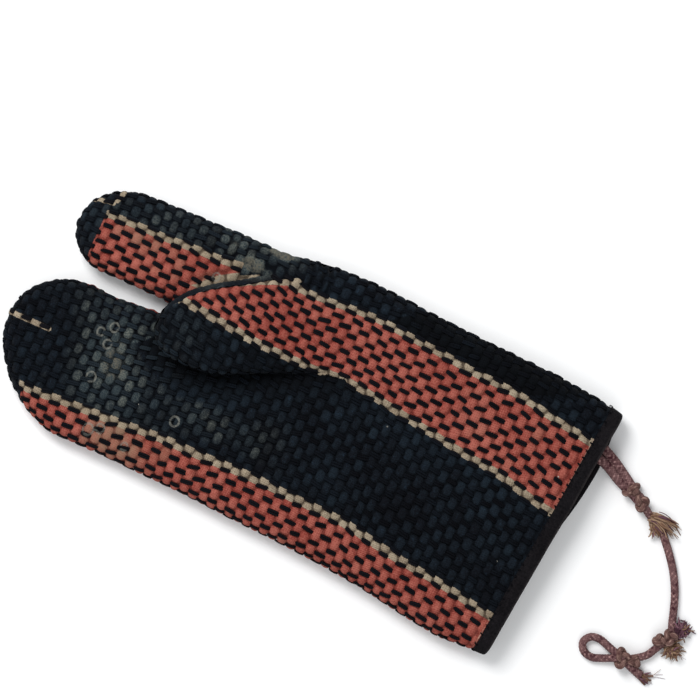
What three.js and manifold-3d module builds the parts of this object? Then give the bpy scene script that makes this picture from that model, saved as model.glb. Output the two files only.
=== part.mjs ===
// A quilted work mitt with a wide lobe for three fingers, an index lobe and a thumb, laid palm up.
// Millimetres. +Z up, +Y towards the fingertips, +X towards the thumb side.
// The origin is on the floor, below the middle of the glove.
import * as THREE from "three";
import { mergeVertices } from "three/addons/utils/BufferGeometryUtils.js";
import Module from "manifold-3d";

// Cloth
const WALL = 4.5; // quilted layers of one panel
const THUMB_WALL = 4;
const TAPE = 0.8; // binding tape
const GAP = 0.3; // between neighbouring pieces
const CROWN = 0.1; // how much lower a panel lies at its side edges than along its middle
const SEAM_HEIGHT = 8; // where the palm meets the back, above the floor

// Outline of the hand: for each distance along it, its left and right edges and the height of its top
const CROTCH_Y = 83;
const HAND = [
  { y: -178, left: -79.5, right: 68.5, top: 19.5 },
  { y: -150, left: -82, right: 74.5, top: 20 },
  { y: -122, left: -83, right: 77, top: 20.5 },
  { y: -102, left: -80.5, right: 78, top: 20.5 },
  { y: -72, left: -75.5, right: 79, top: 20.5 },
  { y: -42, left: -72.5, right: 81, top: 20.5 },
  { y: -15, left: -70.5, right: 83, top: 20.5 },
  { y: 8, left: -69.5, right: 83, top: 20.5 },
  { y: 23, left: -68.5, right: 81, top: 20.5 },
  { y: 38, left: -67.5, right: 78.5, top: 20.5 },
  { y: 58, left: -67, right: 78.5, top: 20 },
  { y: CROTCH_Y, left: -66, right: 78, top: 19.5 },
];
const HAND_STATIONS = [
  -178, -150, -136, -122, -102, -82, -62, -42, -28, -15, -2, 8, 10.5, 13, 15.5, 18, 21.5, 25, 28.5,
  33, 38, 48, 58, 70, CROTCH_Y,
];

// Finger lobes: straight sides up to the shoulder, then a rounded end that leans towards tipX
const WIDE_LOBE = {
  sides: [
    { y: CROTCH_Y, left: -66, right: 20.5, top: 19.5 },
    { y: 95, left: -66, right: 20, top: 19.5 },
    { y: 118, left: -66, right: 18, top: 19 },
  ],
  tipY: 167,
  tipX: -14,
};
const INDEX_LOBE = {
  sides: [
    { y: CROTCH_Y, left: 25.5, right: 78, top: 19.5 },
    { y: 103, left: 26, right: 77.5, top: 19 },
    { y: 123, left: 26.5, right: 77, top: 18.5 },
  ],
  tipY: 153,
  tipX: 49,
};

// Gathers on the thumb side, where the cloth is eased into the thumb seam
const GATHERS = [
  { y: 13, depth: 1.3 },
  { y: 18, depth: 1.1 },
  { y: 25, depth: 1.4 },
];
const GATHER_WIDTH = 1.7;

// Thumb: the left and right ends of each section, its underside and top, and the height of the seam
// of its back piece at each end
const THUMB = [
  { lx: 31, ly: -32, rx: 75, ry: -2, low: 6, top: 17.6, seamLeft: 3, seamRight: 3 },
  { lx: 27, ly: -19, rx: 71, ry: 18, low: 6.5, top: 19.8, seamLeft: 5, seamRight: 5 },
  { lx: 25, ly: -8, rx: 66, ry: 34, low: 8, top: 24.5, seamLeft: 12, seamRight: 14 },
  { lx: 16, ly: 12, rx: 62, ry: 44, low: 13, top: 29, seamLeft: 20, seamRight: 22 },
  { lx: 8, ly: 28, rx: 55, ry: 54, low: 17.5, top: 33, seamLeft: 24, seamRight: 27 },
  { lx: 3, ly: 40, rx: 48, ry: 65, low: 20.9, top: 34.5, seamLeft: 26.5, seamRight: 30 },
  { lx: -1, ly: 51, rx: 41, ry: 74, low: 20.9, top: 35.5, seamLeft: 27, seamRight: 31 },
  { lx: -2, ly: 63, rx: 34, ry: 81.5, low: 20.9, top: 36, seamLeft: 27, seamRight: 31 },
  { lx: -2, ly: 73, rx: 28, ry: 85, low: 21, top: 35.6, seamLeft: 27, seamRight: 31 },
  { lx: 0.5, ly: 81, rx: 22.5, ry: 88, low: 22, top: 34, seamLeft: 27, seamRight: 30 },
  { lx: 5, ly: 86.5, rx: 18, ry: 89.7, low: 24, top: 32, seamLeft: 27.5, seamRight: 29 },
  { lx: 9.5, ly: 89.3, rx: 14.5, ry: 90.4, low: 26.5, top: 29.5, seamLeft: 28, seamRight: 28 },
];

// Cuff: a straight slanting edge, which the back overhangs a little on the thumb side
const CUFF = { leftX: -81, leftY: -150, rightX: 71, rightY: -167 };
const OVERHANG = { from: -20, crest: 34, to: 70, most: 4 };
const BINDING_WIDTH = 7.8;

// Tape loop inside the cuff, and the cord tied to it
const LOOP = { x: 47, sewnY: -122, endY: -144, low: 4.8, top: 11.4, tape: 1, width: 7, taper: 5 };
const CORD_DIAMETER = 3.9;
const FLOOR = CORD_DIAMETER / 2 + 0.1; // height of the cord's middle where it lies
const CORD_SIDES = 8;
const CORD_STEP = 9;

// Section shape: points round each rounded side, and along each flat
const ARC_STEPS = 5;
const FLAT_STEPS = 6;
const CAP_ANGLES = [10, 20, 30, 40, 50, 60, 70, 80, 87];
const TIP_ROWS = 3; // sections of the thumb's tip, which an inset moves towards the wrist
const LEAST = 0.4; // half of the least width and height of an inset section
const BEYOND = 600; // size of the cutting solids, well past the glove

const lerp = (a, b, t) => a + (b - a) * t;

// Smooth value of one column of a table at y.
function columnAt(rows, column, y) {
  const last = rows.length - 1;
  let i = 0;
  while (i < last - 1 && rows[i + 1].y < y) i += 1;
  const slope = (k) => {
    const a = rows[Math.max(k - 1, 0)];
    const b = rows[Math.min(k + 1, last)];
    return (b[column] - a[column]) / (b.y - a.y);
  };
  const span = rows[i + 1].y - rows[i].y;
  const t = THREE.MathUtils.clamp((y - rows[i].y) / span, 0, 1);
  const t2 = t * t;
  const t3 = t2 * t;
  return (
    (2 * t3 - 3 * t2 + 1) * rows[i][column] +
    (t3 - 2 * t2 + t) * span * slope(i) +
    (3 * t2 - 2 * t3) * rows[i + 1][column] +
    (t3 - t2) * span * slope(i + 1)
  );
}

// A flattened section between two end points, with round sides, from its low to its top.
function sectionRing({ left, right, low, top, crown = 0 }) {
  const across = new THREE.Vector2().subVectors(right, left);
  const half = across.length() / 2;
  const radius = Math.min((top - low) / 2, half);
  const middle = (top + low) / 2;
  const flat = half - radius;
  const points = [];
  for (let i = 0; i <= ARC_STEPS; i += 1) {
    const angle = -Math.PI / 2 + (Math.PI * i) / ARC_STEPS;
    points.push([flat + radius * Math.cos(angle), radius * Math.sin(angle)]);
  }
  for (let i = 1; i < FLAT_STEPS; i += 1) points.push([flat * (1 - (2 * i) / FLAT_STEPS), radius]);
  for (let i = 0; i <= ARC_STEPS; i += 1) {
    const angle = Math.PI / 2 + (Math.PI * i) / ARC_STEPS;
    points.push([-flat + radius * Math.cos(angle), radius * Math.sin(angle)]);
  }
  for (let i = 1; i < FLAT_STEPS; i += 1) points.push([-flat * (1 - (2 * i) / FLAT_STEPS), -radius]);
  return points.map(([u, w]) => {
    const t = (u / half + 1) / 2;
    const sag = 1 - crown * (u / half) ** 2;
    return new THREE.Vector3(
      lerp(left.x, right.x, t),
      lerp(left.y, right.y, t),
      low + (middle + w - low) * sag,
    );
  });
}

// A closed skin through sections with the same number of points, with a flat cap on each end.
function loft(rings) {
  const count = rings[0].length;
  const vertices = rings.flat();
  const faces = [];
  for (let k = 0; k < rings.length - 1; k += 1) {
    for (let i = 0; i < count; i += 1) {
      const a = k * count + i;
      const b = k * count + ((i + 1) % count);
      faces.push([a, b, a + count], [b, b + count, a + count]);
    }
  }
  [0, rings.length - 1].forEach((k) => {
    const centre = new THREE.Vector3();
    rings[k].forEach((p) => centre.addScaledVector(p, 1 / count));
    const hub = vertices.push(centre) - 1;
    for (let i = 0; i < count; i += 1) {
      const a = k * count + i;
      const b = k * count + ((i + 1) % count);
      faces.push(k === 0 ? [hub, b, a] : [hub, a, b]);
    }
  });
  const geometry = new THREE.BufferGeometry();
  geometry.setFromPoints(vertices);
  geometry.setIndex(faces.flat());
  return geometry;
}

// Solids
const wasm = await Module();
wasm.setup();

// The solid inside a closed geometry, whichever way its faces are wound.
function solid(geometry) {
  const bare = geometry.clone();
  bare.deleteAttribute("normal");
  bare.deleteAttribute("uv");
  const merged = mergeVertices(bare, 1e-4);
  const vertProperties = Float32Array.from(merged.attributes.position.array);
  const triVerts = Uint32Array.from(merged.index.array);
  const made = new wasm.Manifold(new wasm.Mesh({ numProp: 3, vertProperties, triVerts }));
  if (made.volume() > 0) return made;
  return new wasm.Manifold(new wasm.Mesh({ numProp: 3, vertProperties, triVerts: triVerts.reverse() }));
}

function geometryOf(body) {
  const { vertProperties, triVerts } = body.getMesh();
  const geometry = new THREE.BufferGeometry();
  geometry.setAttribute("position", new THREE.BufferAttribute(vertProperties, 3));
  geometry.setIndex(new THREE.BufferAttribute(triVerts, 1));
  const flat = geometry.toNonIndexed();
  flat.computeVertexNormals();
  return flat;
}

const extruded = (shape, depth, curveSegments) =>
  new THREE.ExtrudeGeometry(shape, { depth, curveSegments, bevelEnabled: false });

// A slab that reaches past the glove on all sides, between two heights.
const slabSolid = (low, top) =>
  solid(new THREE.BoxGeometry(BEYOND, BEYOND, top - low).translate(0, 0, (low + top) / 2));

// Hand forms. An inset form lies that far inside the glove's outer skin.
function gatherAt(y) {
  return GATHERS.reduce((sum, g) => sum + g.depth * Math.exp(-(((y - g.y) / GATHER_WIDTH) ** 2)), 0);
}

function handRing(rows, y, inset, low, top) {
  return sectionRing({
    left: new THREE.Vector2(columnAt(rows, "left", y) + inset, y),
    right: new THREE.Vector2(columnAt(rows, "right", y) - inset - gatherAt(y), y),
    low: low + inset,
    top: top - inset,
    crown: CROWN,
  });
}

function handForm(inset) {
  const end = CROTCH_Y - inset;
  const stations = HAND_STATIONS.map((y) => Math.min(y, end));
  return solid(loft(stations.map((y) => handRing(HAND, y, inset, 0, columnAt(HAND, "top", y)))));
}

function lobeForm({ sides, tipY, tipX }, inset) {
  const shoulder = sides[sides.length - 1];
  const rings = sides.map((row) => {
    const y = row.y === CROTCH_Y ? CROTCH_Y - inset : row.y;
    return handRing(sides, y, inset, 0, row.top);
  });
  const middle = (shoulder.left + shoulder.right) / 2;
  const half = (shoulder.right - shoulder.left) / 2 - inset;
  const depth = tipY - inset - shoulder.y;
  const radius = shoulder.top / 2 - inset;
  CAP_ANGLES.forEach((degrees) => {
    const angle = THREE.MathUtils.degToRad(degrees);
    const y = shoulder.y + depth * Math.sin(angle);
    const fromTip = Math.min(depth * (1 - Math.sin(angle)), radius);
    const rise = Math.sqrt(radius ** 2 - (radius - fromTip) ** 2);
    const x = lerp(middle, tipX, Math.sin(angle));
    rings.push(
      sectionRing({
        left: new THREE.Vector2(x - half * Math.cos(angle), y),
        right: new THREE.Vector2(x + half * Math.cos(angle), y),
        low: shoulder.top / 2 - rise,
        top: shoulder.top / 2 + rise,
        crown: CROWN,
      }),
    );
  });
  return solid(loft(rings));
}

function gloveForm(inset) {
  return handForm(inset).add(lobeForm(WIDE_LOBE, inset)).add(lobeForm(INDEX_LOBE, inset));
}

function thumbForm(inset) {
  const rings = THUMB.map((row, index) => {
    const left = new THREE.Vector2(row.lx, row.ly);
    const right = new THREE.Vector2(row.rx, row.ry);
    const across = new THREE.Vector2().subVectors(right, left);
    const side = across.clone().setLength(Math.min(inset, across.length() / 2 - LEAST));
    const atTip = index >= THUMB.length - TIP_ROWS;
    const towardsWrist = new THREE.Vector2(across.y, -across.x).setLength(atTip ? inset : 0);
    left.add(side).add(towardsWrist);
    right.sub(side).add(towardsWrist);
    const thin = Math.min(inset, (row.top - row.low) / 2 - LEAST);
    return sectionRing({ left, right, low: row.low + thin, top: row.top - thin });
  });
  return solid(loft(rings));
}

// Everything below the seam of the thumb's back piece, lowered by drop.
function belowThumbSeam(drop) {
  const reach = 12;
  const rings = THUMB.map((row, index) => {
    const left = new THREE.Vector3(row.lx, row.ly, row.seamLeft - drop);
    const right = new THREE.Vector3(row.rx, row.ry, row.seamRight - drop);
    const across = new THREE.Vector3(row.rx - row.lx, row.ry - row.ly, 0).setLength(reach);
    const along = new THREE.Vector3(-across.y, across.x, 0);
    left.sub(across);
    right.add(across);
    if (index === THUMB.length - 1) {
      left.add(along);
      right.add(along);
    }
    return [right.clone().setZ(-reach), right, left, left.clone().setZ(-reach)];
  });
  return solid(loft(rings));
}

// Everything on the fingers' side of the cuff's edge, pulled back by inset. The edge bows by overhang.
function beyondCuff(inset, overhang) {
  const slope = (CUFF.rightY - CUFF.leftY) / (CUFF.rightX - CUFF.leftX);
  const far = BEYOND / 2;
  const edgeY = (x, bow = 0) => CUFF.leftY + slope * (x - CUFF.leftX) + inset - bow;
  const shape = new THREE.Shape();
  shape.moveTo(-far, far);
  shape.lineTo(-far, edgeY(-far));
  if (overhang > 0) {
    const { from, crest, to } = OVERHANG;
    const rising = lerp(from, crest, 0.5);
    const falling = lerp(crest, to, 0.5);
    shape.lineTo(from, edgeY(from));
    const crestY = edgeY(crest, overhang);
    shape.bezierCurveTo(rising, edgeY(rising), rising, edgeY(rising, overhang), crest, crestY);
    shape.bezierCurveTo(falling, edgeY(falling, overhang), falling, edgeY(falling), to, edgeY(to));
  }
  shape.lineTo(far, edgeY(far));
  shape.lineTo(far, far);
  shape.closePath();
  return solid(extruded(shape, BEYOND, 6).translate(0, 0, -far));
}

// Quilted layers and binding, the palm's half and the back's half
const outer = gloveForm(0);
const hollow = gloveForm(WALL);
const thumbOuter = thumbForm(0);
const thumbHollow = thumbForm(THUMB_WALL);
const layers = outer.subtract(hollow);
const core = gloveForm(TAPE + GAP).subtract(gloveForm(WALL - TAPE - GAP));
const channel = gloveForm(TAPE).subtract(gloveForm(WALL - TAPE));
const above = slabSolid(SEAM_HEIGHT, BEYOND);
const below = slabSolid(-BEYOND, SEAM_HEIGHT - GAP);
const belowToSeam = slabSolid(-BEYOND, SEAM_HEIGHT);

// One panel: full thickness as far as the binding, and a thinner lip inside it.
function panelHalf(half, overhang) {
  const body = layers.intersect(beyondCuff(BINDING_WIDTH + GAP, overhang));
  const lip = core.intersect(beyondCuff(TAPE + GAP, overhang));
  return body.add(lip).intersect(half);
}

function bindingHalf(half, overhang) {
  const band = layers.intersect(beyondCuff(0, overhang)).subtract(beyondCuff(BINDING_WIDTH, overhang));
  return band.subtract(channel.intersect(beyondCuff(TAPE, overhang))).intersect(half);
}

const backPanel = panelHalf(below, OVERHANG.most);
const binding = bindingHalf(above, 0).add(bindingHalf(belowToSeam, OVERHANG.most));

const thumbShell = thumbOuter.subtract(thumbHollow).subtract(hollow);
const thumbFront = thumbShell.subtract(belowThumbSeam(0));
const thumbBack = thumbShell.intersect(belowThumbSeam(GAP));
const thumbBackRoom = thumbForm(-GAP).intersect(belowThumbSeam(0));
const palmPanel = panelHalf(above, 0).subtract(thumbBackRoom).subtract(thumbHollow).add(thumbFront);

// Tape loop: two legs that meet where they are sewn to the inside of the back, and a round end
function hangingLoop() {
  const { x, sewnY, endY, low, top, tape, width, taper } = LOOP;
  const radius = (top - low) / 2;
  const roundY = endY + radius;
  const profile = new THREE.Shape();
  profile.moveTo(sewnY, low);
  profile.lineTo(sewnY, low + 2 * tape);
  profile.lineTo(roundY + taper, top);
  profile.lineTo(roundY, top);
  profile.absarc(roundY, low + radius, radius, Math.PI / 2, (3 * Math.PI) / 2, false);
  profile.closePath();
  const hole = new THREE.Path();
  hole.moveTo(roundY + taper, low + tape);
  hole.lineTo(roundY + taper, top - tape);
  hole.lineTo(roundY, top - tape);
  hole.absarc(roundY, low + radius, radius - tape, Math.PI / 2, (3 * Math.PI) / 2, false);
  hole.closePath();
  profile.holes.push(hole);
  const geometry = extruded(profile, width, 8);
  geometry.rotateX(Math.PI / 2);
  geometry.rotateZ(Math.PI / 2);
  geometry.translate(x - width / 2, 0, 0);
  return solid(geometry);
}

// Cord: each stretch is a tube through the middle points of its route
const CORD_ROUTES = {
  cord_cuff_loop: [
    [30.2, -191.6, 3.2],
    [32.6, -187, 2.8],
    [36.4, -179.6, 3.2],
    [40.8, -171.2, 6.6],
    [43, -164, 9.4],
    [42, -156, 9],
    [39.6, -149, 8.2],
    [41, -141.4, 8.1],
    [47, -137.6, 8.1],
    [53, -141.4, 8.1],
    [54.6, -149, 8.2],
    [52, -157, 9],
    [49, -165, 9.4],
    [45.2, -173, 6.6],
    [40.4, -181.4, 3.2],
    [36.4, -188.8, 2.8],
    [34, -193.4, 3.2],
  ],
  cord_short_link: [
    [28.1, -199.6, 2.8],
    [25.6, -203.4, FLOOR],
    [23.6, -207.2, 2.4],
  ],
  cord_main: [
    [18.6, -214.6, 2.4],
    [14.6, -218.2, FLOOR],
    [9.4, -222.6, FLOOR],
    [3.2, -227.2, FLOOR],
    [-3.6, -231.2, FLOOR],
    [-10.6, -234.4, FLOOR],
    [-17.6, -236.8, FLOOR],
    [-23.6, -238.6, FLOOR],
    [-28.4, -240.2, 2.8],
  ],
  cord_second_link: [
    [-34.9, -239.1, 3.2],
    [-41.4, -235.8, FLOOR],
    [-46.6, -232.6, FLOOR],
    [-51.8, -225, 3.2],
  ],
  cord_end_loop: [
    [-55.4, -215.6, 3.2],
    [-57.6, -211, FLOOR],
    [-59.4, -205.4, FLOOR],
    [-58, -200.2, FLOOR],
    [-53.6, -197.8, FLOOR],
    [-49.4, -200.4, FLOOR],
    [-48.4, -205.4, FLOOR],
    [-50, -211, FLOOR],
    [-51.4, -215.4, 3.2],
  ],
  cord_tail: [
    [-54.6, -224.4, 3],
    [-56.6, -230.4, FLOOR],
    [-57.8, -234.6, FLOOR],
  ],
};

// With room, the tube is that much thicker and longer, to cut a seat for the cord.
function cordTube(points, room = 0) {
  const route = points.map((p) => new THREE.Vector3(...p));
  const last = route.length - 1;
  route[0].add(route[0].clone().sub(route[1]).setLength(room));
  route[last].add(route[last].clone().sub(route[last - 1]).setLength(room));
  const curve = new THREE.CatmullRomCurve3(route);
  const section = new THREE.Shape();
  const radius = CORD_DIAMETER / 2 + room;
  for (let i = 0; i < CORD_SIDES; i += 1) {
    const angle = ((i + 0.5) * 2 * Math.PI) / CORD_SIDES;
    const x = radius * Math.cos(angle);
    const y = radius * Math.sin(angle);
    if (i === 0) section.moveTo(x, y);
    else section.lineTo(x, y);
  }
  section.closePath();
  const steps = Math.max(2, Math.ceil(curve.getLength() / CORD_STEP)) * 2;
  return solid(new THREE.ExtrudeGeometry(section, { extrudePath: curve, steps, bevelEnabled: false }));
}

// Knots: an egg of cord turns, from its middle, its half sizes and its turn about Z
const KNOTS = {
  knot_cuff: { at: [30.4, -196.2, 4.4], half: [5.4, 3.9, 4.2], turn: 28 },
  knot_middle: { at: [-32, -240.6, 4.4], half: [4.4, 4, 4.2], turn: 20 },
  knot_end: { at: [-53, -221, 4.5], half: [6.4, 4.6, 4.3], turn: 15 },
};

function knotSolid({ at, half, turn }, room = 0) {
  const geometry = new THREE.SphereGeometry(1, 12, 8);
  geometry.scale(...half.map((size) => size + room));
  geometry.rotateZ(THREE.MathUtils.degToRad(turn));
  geometry.translate(...at);
  return solid(geometry);
}

// Frayed ends: a round head with locks of loose fibre fanning from it
const TUFTS = {
  knot_frayed: { at: [21.4, -211.4, 4], head: 4, locks: 7, from: -70, to: 40, length: 10, thick: 2.1 },
  tail_fray: { at: [-58.4, -237, 2.5], head: 2.3, locks: 4, from: 230, to: 300, length: 5.5, thick: 1.1 },
  tuft_purple: { at: [-26, -245.4, 3.8], head: 3.1, locks: 5, from: -80, to: 60, length: 4.6, thick: 1.6 },
  tuft_tan: { at: [-37.4, -245.8, 3.9], head: 3.6, locks: 5, from: 190, to: 300, length: 5.6, thick: 1.6 },
};

function tuftSolid({ at, head, locks, from, to, length, thick }) {
  let body = solid(new THREE.SphereGeometry(head, 10, 8).translate(...at));
  for (let i = 0; i < locks; i += 1) {
    const angle = THREE.MathUtils.degToRad(lerp(from, to, i / (locks - 1)));
    const reach = length * (i % 2 ? 1 : 0.86);
    const lock = new THREE.ConeGeometry(thick, reach, 6);
    lock.translate(0, reach / 2, 0);
    lock.rotateZ(angle - Math.PI / 2);
    lock.translate(at[0], at[1], Math.max(at[2] - (i % 2 ? 0.6 : 0), thick));
    body = body.add(solid(lock));
  }
  return body;
}

const cloth = (color) => new THREE.MeshStandardMaterial({ color, roughness: 0.95, metalness: 0 });
const NAVY = cloth(0x16202c);
const SALMON_NAVY = cloth(0x8c4a40);
const BINDING_CLOTH = cloth(0x262023);
const CORD_BRAID = cloth(0x785a5a);
const FRAYED = cloth(0x967d64);

const glove = new THREE.Group();

function addPiece(name, body, material) {
  const mesh = new THREE.Mesh(geometryOf(body), material);
  mesh.name = name;
  glove.add(mesh);
}

addPiece("back_panel", backPanel, NAVY);
addPiece("palm_panel", palmPanel, SALMON_NAVY);
addPiece("thumb_back", thumbBack, NAVY);
addPiece("cuff_binding", binding, BINDING_CLOTH);
addPiece("hanging_loop", hangingLoop(), NAVY);

const cordSeats = Object.values(CORD_ROUTES).map((points) => cordTube(points, GAP));
const knotSeats = Object.values(KNOTS).map((knot) => knotSolid(knot, GAP));
const seated = (body, seats) => seats.reduce((rest, seat) => rest.subtract(seat), body);
Object.entries(CORD_ROUTES).forEach(([name, points]) => addPiece(name, cordTube(points), CORD_BRAID));
Object.entries(KNOTS).forEach(([name, knot]) =>
  addPiece(name, seated(knotSolid(knot), cordSeats), CORD_BRAID),
);
Object.entries(TUFTS).forEach(([name, tuft]) =>
  addPiece(name, seated(tuftSolid(tuft), [...cordSeats, ...knotSeats]), FRAYED),
);

export default glove;
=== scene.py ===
# %% [markdown]
# A thick quilted work mitt, laid palm up, with a wide lobe for three fingers, an index lobe and a thumb.
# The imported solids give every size. Here the cloth gets its puffed bricks between running stitches, its
# dyed stripes and wear, and the cord its braid, knots and frayed ends. Lengths are in millimetres until
# a mesh is made, because cloth, thread and stitches are easiest to think about at that size.

import math

import bpy
import numpy as np
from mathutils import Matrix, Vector
from mathutils.kdtree import KDTree


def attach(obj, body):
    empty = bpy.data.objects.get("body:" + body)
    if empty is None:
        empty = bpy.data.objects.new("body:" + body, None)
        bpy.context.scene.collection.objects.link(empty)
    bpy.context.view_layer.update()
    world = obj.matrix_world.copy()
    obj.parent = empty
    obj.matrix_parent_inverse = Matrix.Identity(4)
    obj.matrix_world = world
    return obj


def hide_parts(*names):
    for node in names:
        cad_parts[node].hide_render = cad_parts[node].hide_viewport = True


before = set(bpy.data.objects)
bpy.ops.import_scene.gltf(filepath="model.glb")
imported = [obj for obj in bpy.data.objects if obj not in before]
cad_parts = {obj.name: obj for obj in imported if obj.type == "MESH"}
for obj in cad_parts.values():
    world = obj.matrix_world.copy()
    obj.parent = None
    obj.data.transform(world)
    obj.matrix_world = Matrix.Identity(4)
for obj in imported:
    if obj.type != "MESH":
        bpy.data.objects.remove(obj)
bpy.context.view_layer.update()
bpy.ops.object.select_all(action="DESELECT")
MM = 0.001
chance = np.random.default_rng(11)
print("solids:", len(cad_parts))

# %% [markdown]
# The picture was taken from straight above, with the fingertips pointing up and to the left. The camera
# stands 1.6 m over the glove with a long lens, so that nothing near the edges looks stretched. A large
# soft lamp beyond the fingertips gives the faint shadows towards the cuff, and a pale sky fills them.

# %% Camera
LOOKS_AT = (42.7 * MM, -14.4 * MM)
CAMERA_HEIGHT, LENS = 1.615, 149.6
TURN = math.atan2(-0.916, 0.402)
bpy.ops.object.camera_add(location=(*LOOKS_AT, CAMERA_HEIGHT), rotation=(0, 0, TURN))
camera = bpy.context.object
camera.data.sensor_width = 36
camera.data.lens = LENS
bpy.context.scene.camera = camera
print("camera", CAMERA_HEIGHT, "m up, turned by", round(math.degrees(TURN)), "degrees")

# %% Light and floor
SKY, SKY_STRENGTH = (0.96, 0.98, 1.0, 1), 0.55
LAMPS = {"key_lamp": ((0.6, 0.8, 1.25), 0.75, 22), "fill_lamp": ((-1.0, -0.6, 1.4), 1.4, 7)}
FLOOR_DROP = 0.0002
bpy.context.scene.view_settings.view_transform = "Standard"
world = bpy.data.worlds.new("studio")
bpy.context.scene.world = world
world.use_nodes = True
world.node_tree.nodes["Background"].inputs["Color"].default_value = SKY
world.node_tree.nodes["Background"].inputs["Strength"].default_value = SKY_STRENGTH
for name, (place, size, power) in LAMPS.items():
    aim = Vector((0, -0.02, 0.02)) - Vector(place)
    bpy.ops.object.light_add(type="AREA", location=place, rotation=aim.to_track_quat("-Z", "Y").to_euler())
    lamp = bpy.context.object
    lamp.name = name
    lamp.data.size = size
    lamp.data.energy = power
bpy.ops.mesh.primitive_plane_add(size=6, location=(0, 0, -FLOOR_DROP))
floor = bpy.context.object
floor.name = "floor"
print("lamps:", ", ".join(LAMPS), "and a floor")

# %% [markdown]
# Materials are graphs of nodes. Two small classes keep them readable: Value wraps one socket, so that
# ordinary sums add the Math nodes, and Finish holds a material and adds any other node by its name.


# %% Values
class Value:
    """One number in a material, which adds and multiplies like a number in a script."""

    def __init__(self, finish, socket):
        self.finish, self.socket = finish, socket

    def done(self, operation, *others):
        return self.finish.maths(operation, self, *others)

    def __add__(self, other):
        return self.done("ADD", other)

    def __sub__(self, other):
        return self.done("SUBTRACT", other)

    def __rsub__(self, other):
        return self.finish.maths("SUBTRACT", other, self)

    def __mul__(self, other):
        return self.done("MULTIPLY", other)

    def __truediv__(self, other):
        return self.done("DIVIDE", other)

    def sine(self, pitch):
        """A ripple that repeats after that much of the value."""
        return (self * (math.tau / pitch)).done("SINE")

    def step(self, low, high):
        """0 below low and 1 above high, with a soft change between."""
        inputs = {"Value": self, "From Min": low, "From Max": high}
        made = self.finish.node("ShaderNodeMapRange", {"interpolation_type": "SMOOTHSTEP"}, inputs)
        return Value(self.finish, made.outputs[0])


print("sums of values become Math nodes")


# %% Finishes
class Finish:
    """A material, and the nodes that make it."""

    def __init__(self, name):
        self.material = bpy.data.materials.new(name)
        self.material.use_nodes = True
        self.tree = self.material.node_tree
        self.tree.nodes.clear()

    def node(self, kind, settings=None, inputs=None):
        made = self.tree.nodes.new(kind)
        for key, value in (settings or {}).items():
            setattr(made, key, value)
        for key, value in (inputs or {}).items():
            value = value.socket if isinstance(value, Value) else value
            if isinstance(value, bpy.types.NodeSocket):
                self.tree.links.new(value, made.inputs[key])
            else:
                made.inputs[key].default_value = value
        return made

    def maths(self, operation, *numbers):
        made = self.node("ShaderNodeMath", {"operation": operation}, dict(enumerate(numbers)))
        return Value(self, made.outputs[0])

    def parts(self, vector):
        made = self.node("ShaderNodeSeparateXYZ", None, {0: vector})
        return [Value(self, made.outputs[i]) for i in range(3)]

    def joined(self, x, y, z=0.0):
        return self.node("ShaderNodeCombineXYZ", None, {0: x, 1: y, 2: z}).outputs[0]

    def uv(self, name):
        return self.parts(self.node("ShaderNodeUVMap", {"uv_map": name}).outputs[0])[:2]

    def attribute(self, name):
        return self.parts(self.node("ShaderNodeAttribute", {"attribute_name": name}).outputs["Vector"])

    def place(self):
        """Where a point is on the object, in metres."""
        return self.node("ShaderNodeTexCoord").outputs["Object"]

    def noise(self, vector, scale, detail=2.0, roughness=0.5):
        inputs = {"Vector": vector, "Scale": scale, "Detail": detail, "Roughness": roughness}
        return Value(self, self.node("ShaderNodeTexNoise", None, inputs).outputs[0])

    def random(self, x, y, z=0.0):
        inputs = {"Vector": self.joined(x, y, z)}
        made = self.node("ShaderNodeTexWhiteNoise", {"noise_dimensions": "3D"}, inputs)
        return Value(self, made.outputs["Value"])

    def mix(self, first, second, share):
        """From the first colour to the second. A tuple is a colour of the picture, from 0 to 255."""
        first, second = (dye(*c) if isinstance(c, tuple) else c for c in (first, second))
        settings = {"data_type": "RGBA", "clamp_factor": True}
        return self.node("ShaderNodeMix", settings, {0: share, 6: first, 7: second}).outputs[2]

    def bump(self, height, strength, distance):
        inputs = {"Height": height, "Strength": strength, "Distance": distance}
        return self.node("ShaderNodeBump", None, inputs).outputs[0]

    def surface(self, tone, roughness, specular=0.5, **others):
        """The closing shader. Constants stay on its own sockets."""
        names = {"Base Color": tone, "Roughness": roughness, "Specular IOR Level": specular}
        names.update({key.replace("_", " "): value for key, value in others.items()})
        shader = self.node("ShaderNodeBsdfPrincipled", None, names)
        self.node("ShaderNodeOutputMaterial", None, {0: shader.outputs[0]})
        return self.material


def dye(red, green, blue, lamps=0.66):
    """The dye that shows as that colour under these lamps."""
    share = np.array([red, green, blue]) / 255
    light = np.where(share > 0.04045, ((share + 0.055) / 1.055) ** 2.4, share / 12.92) * lamps
    return (*[float(x) for x in light], 1.0)


print("what shows as white has the dye", [round(x, 2) for x in dye(255, 255, 255)[:3]])

# %% Floor finish
paper = Finish("floor_paper")
grain = paper.noise(paper.place(), 9.0)
paper_tone = paper.mix((243, 243, 243, 1), (247, 247, 247, 1), grain)
floor.data.materials.append(paper.surface(paper_tone, 0.9))
print("floor finish made")

# %% [markdown]
# Almost every piece here is a skin over points that a sum gives, so one helper turns points and faces
# into an object. Its place is in the mesh and its origin at zero, as for the solids. The finishes read
# a point's place in the braid, the cloth or the thread from a UV map, and its dyes from attributes.


# %% Meshes from points
pieces = {}


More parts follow.
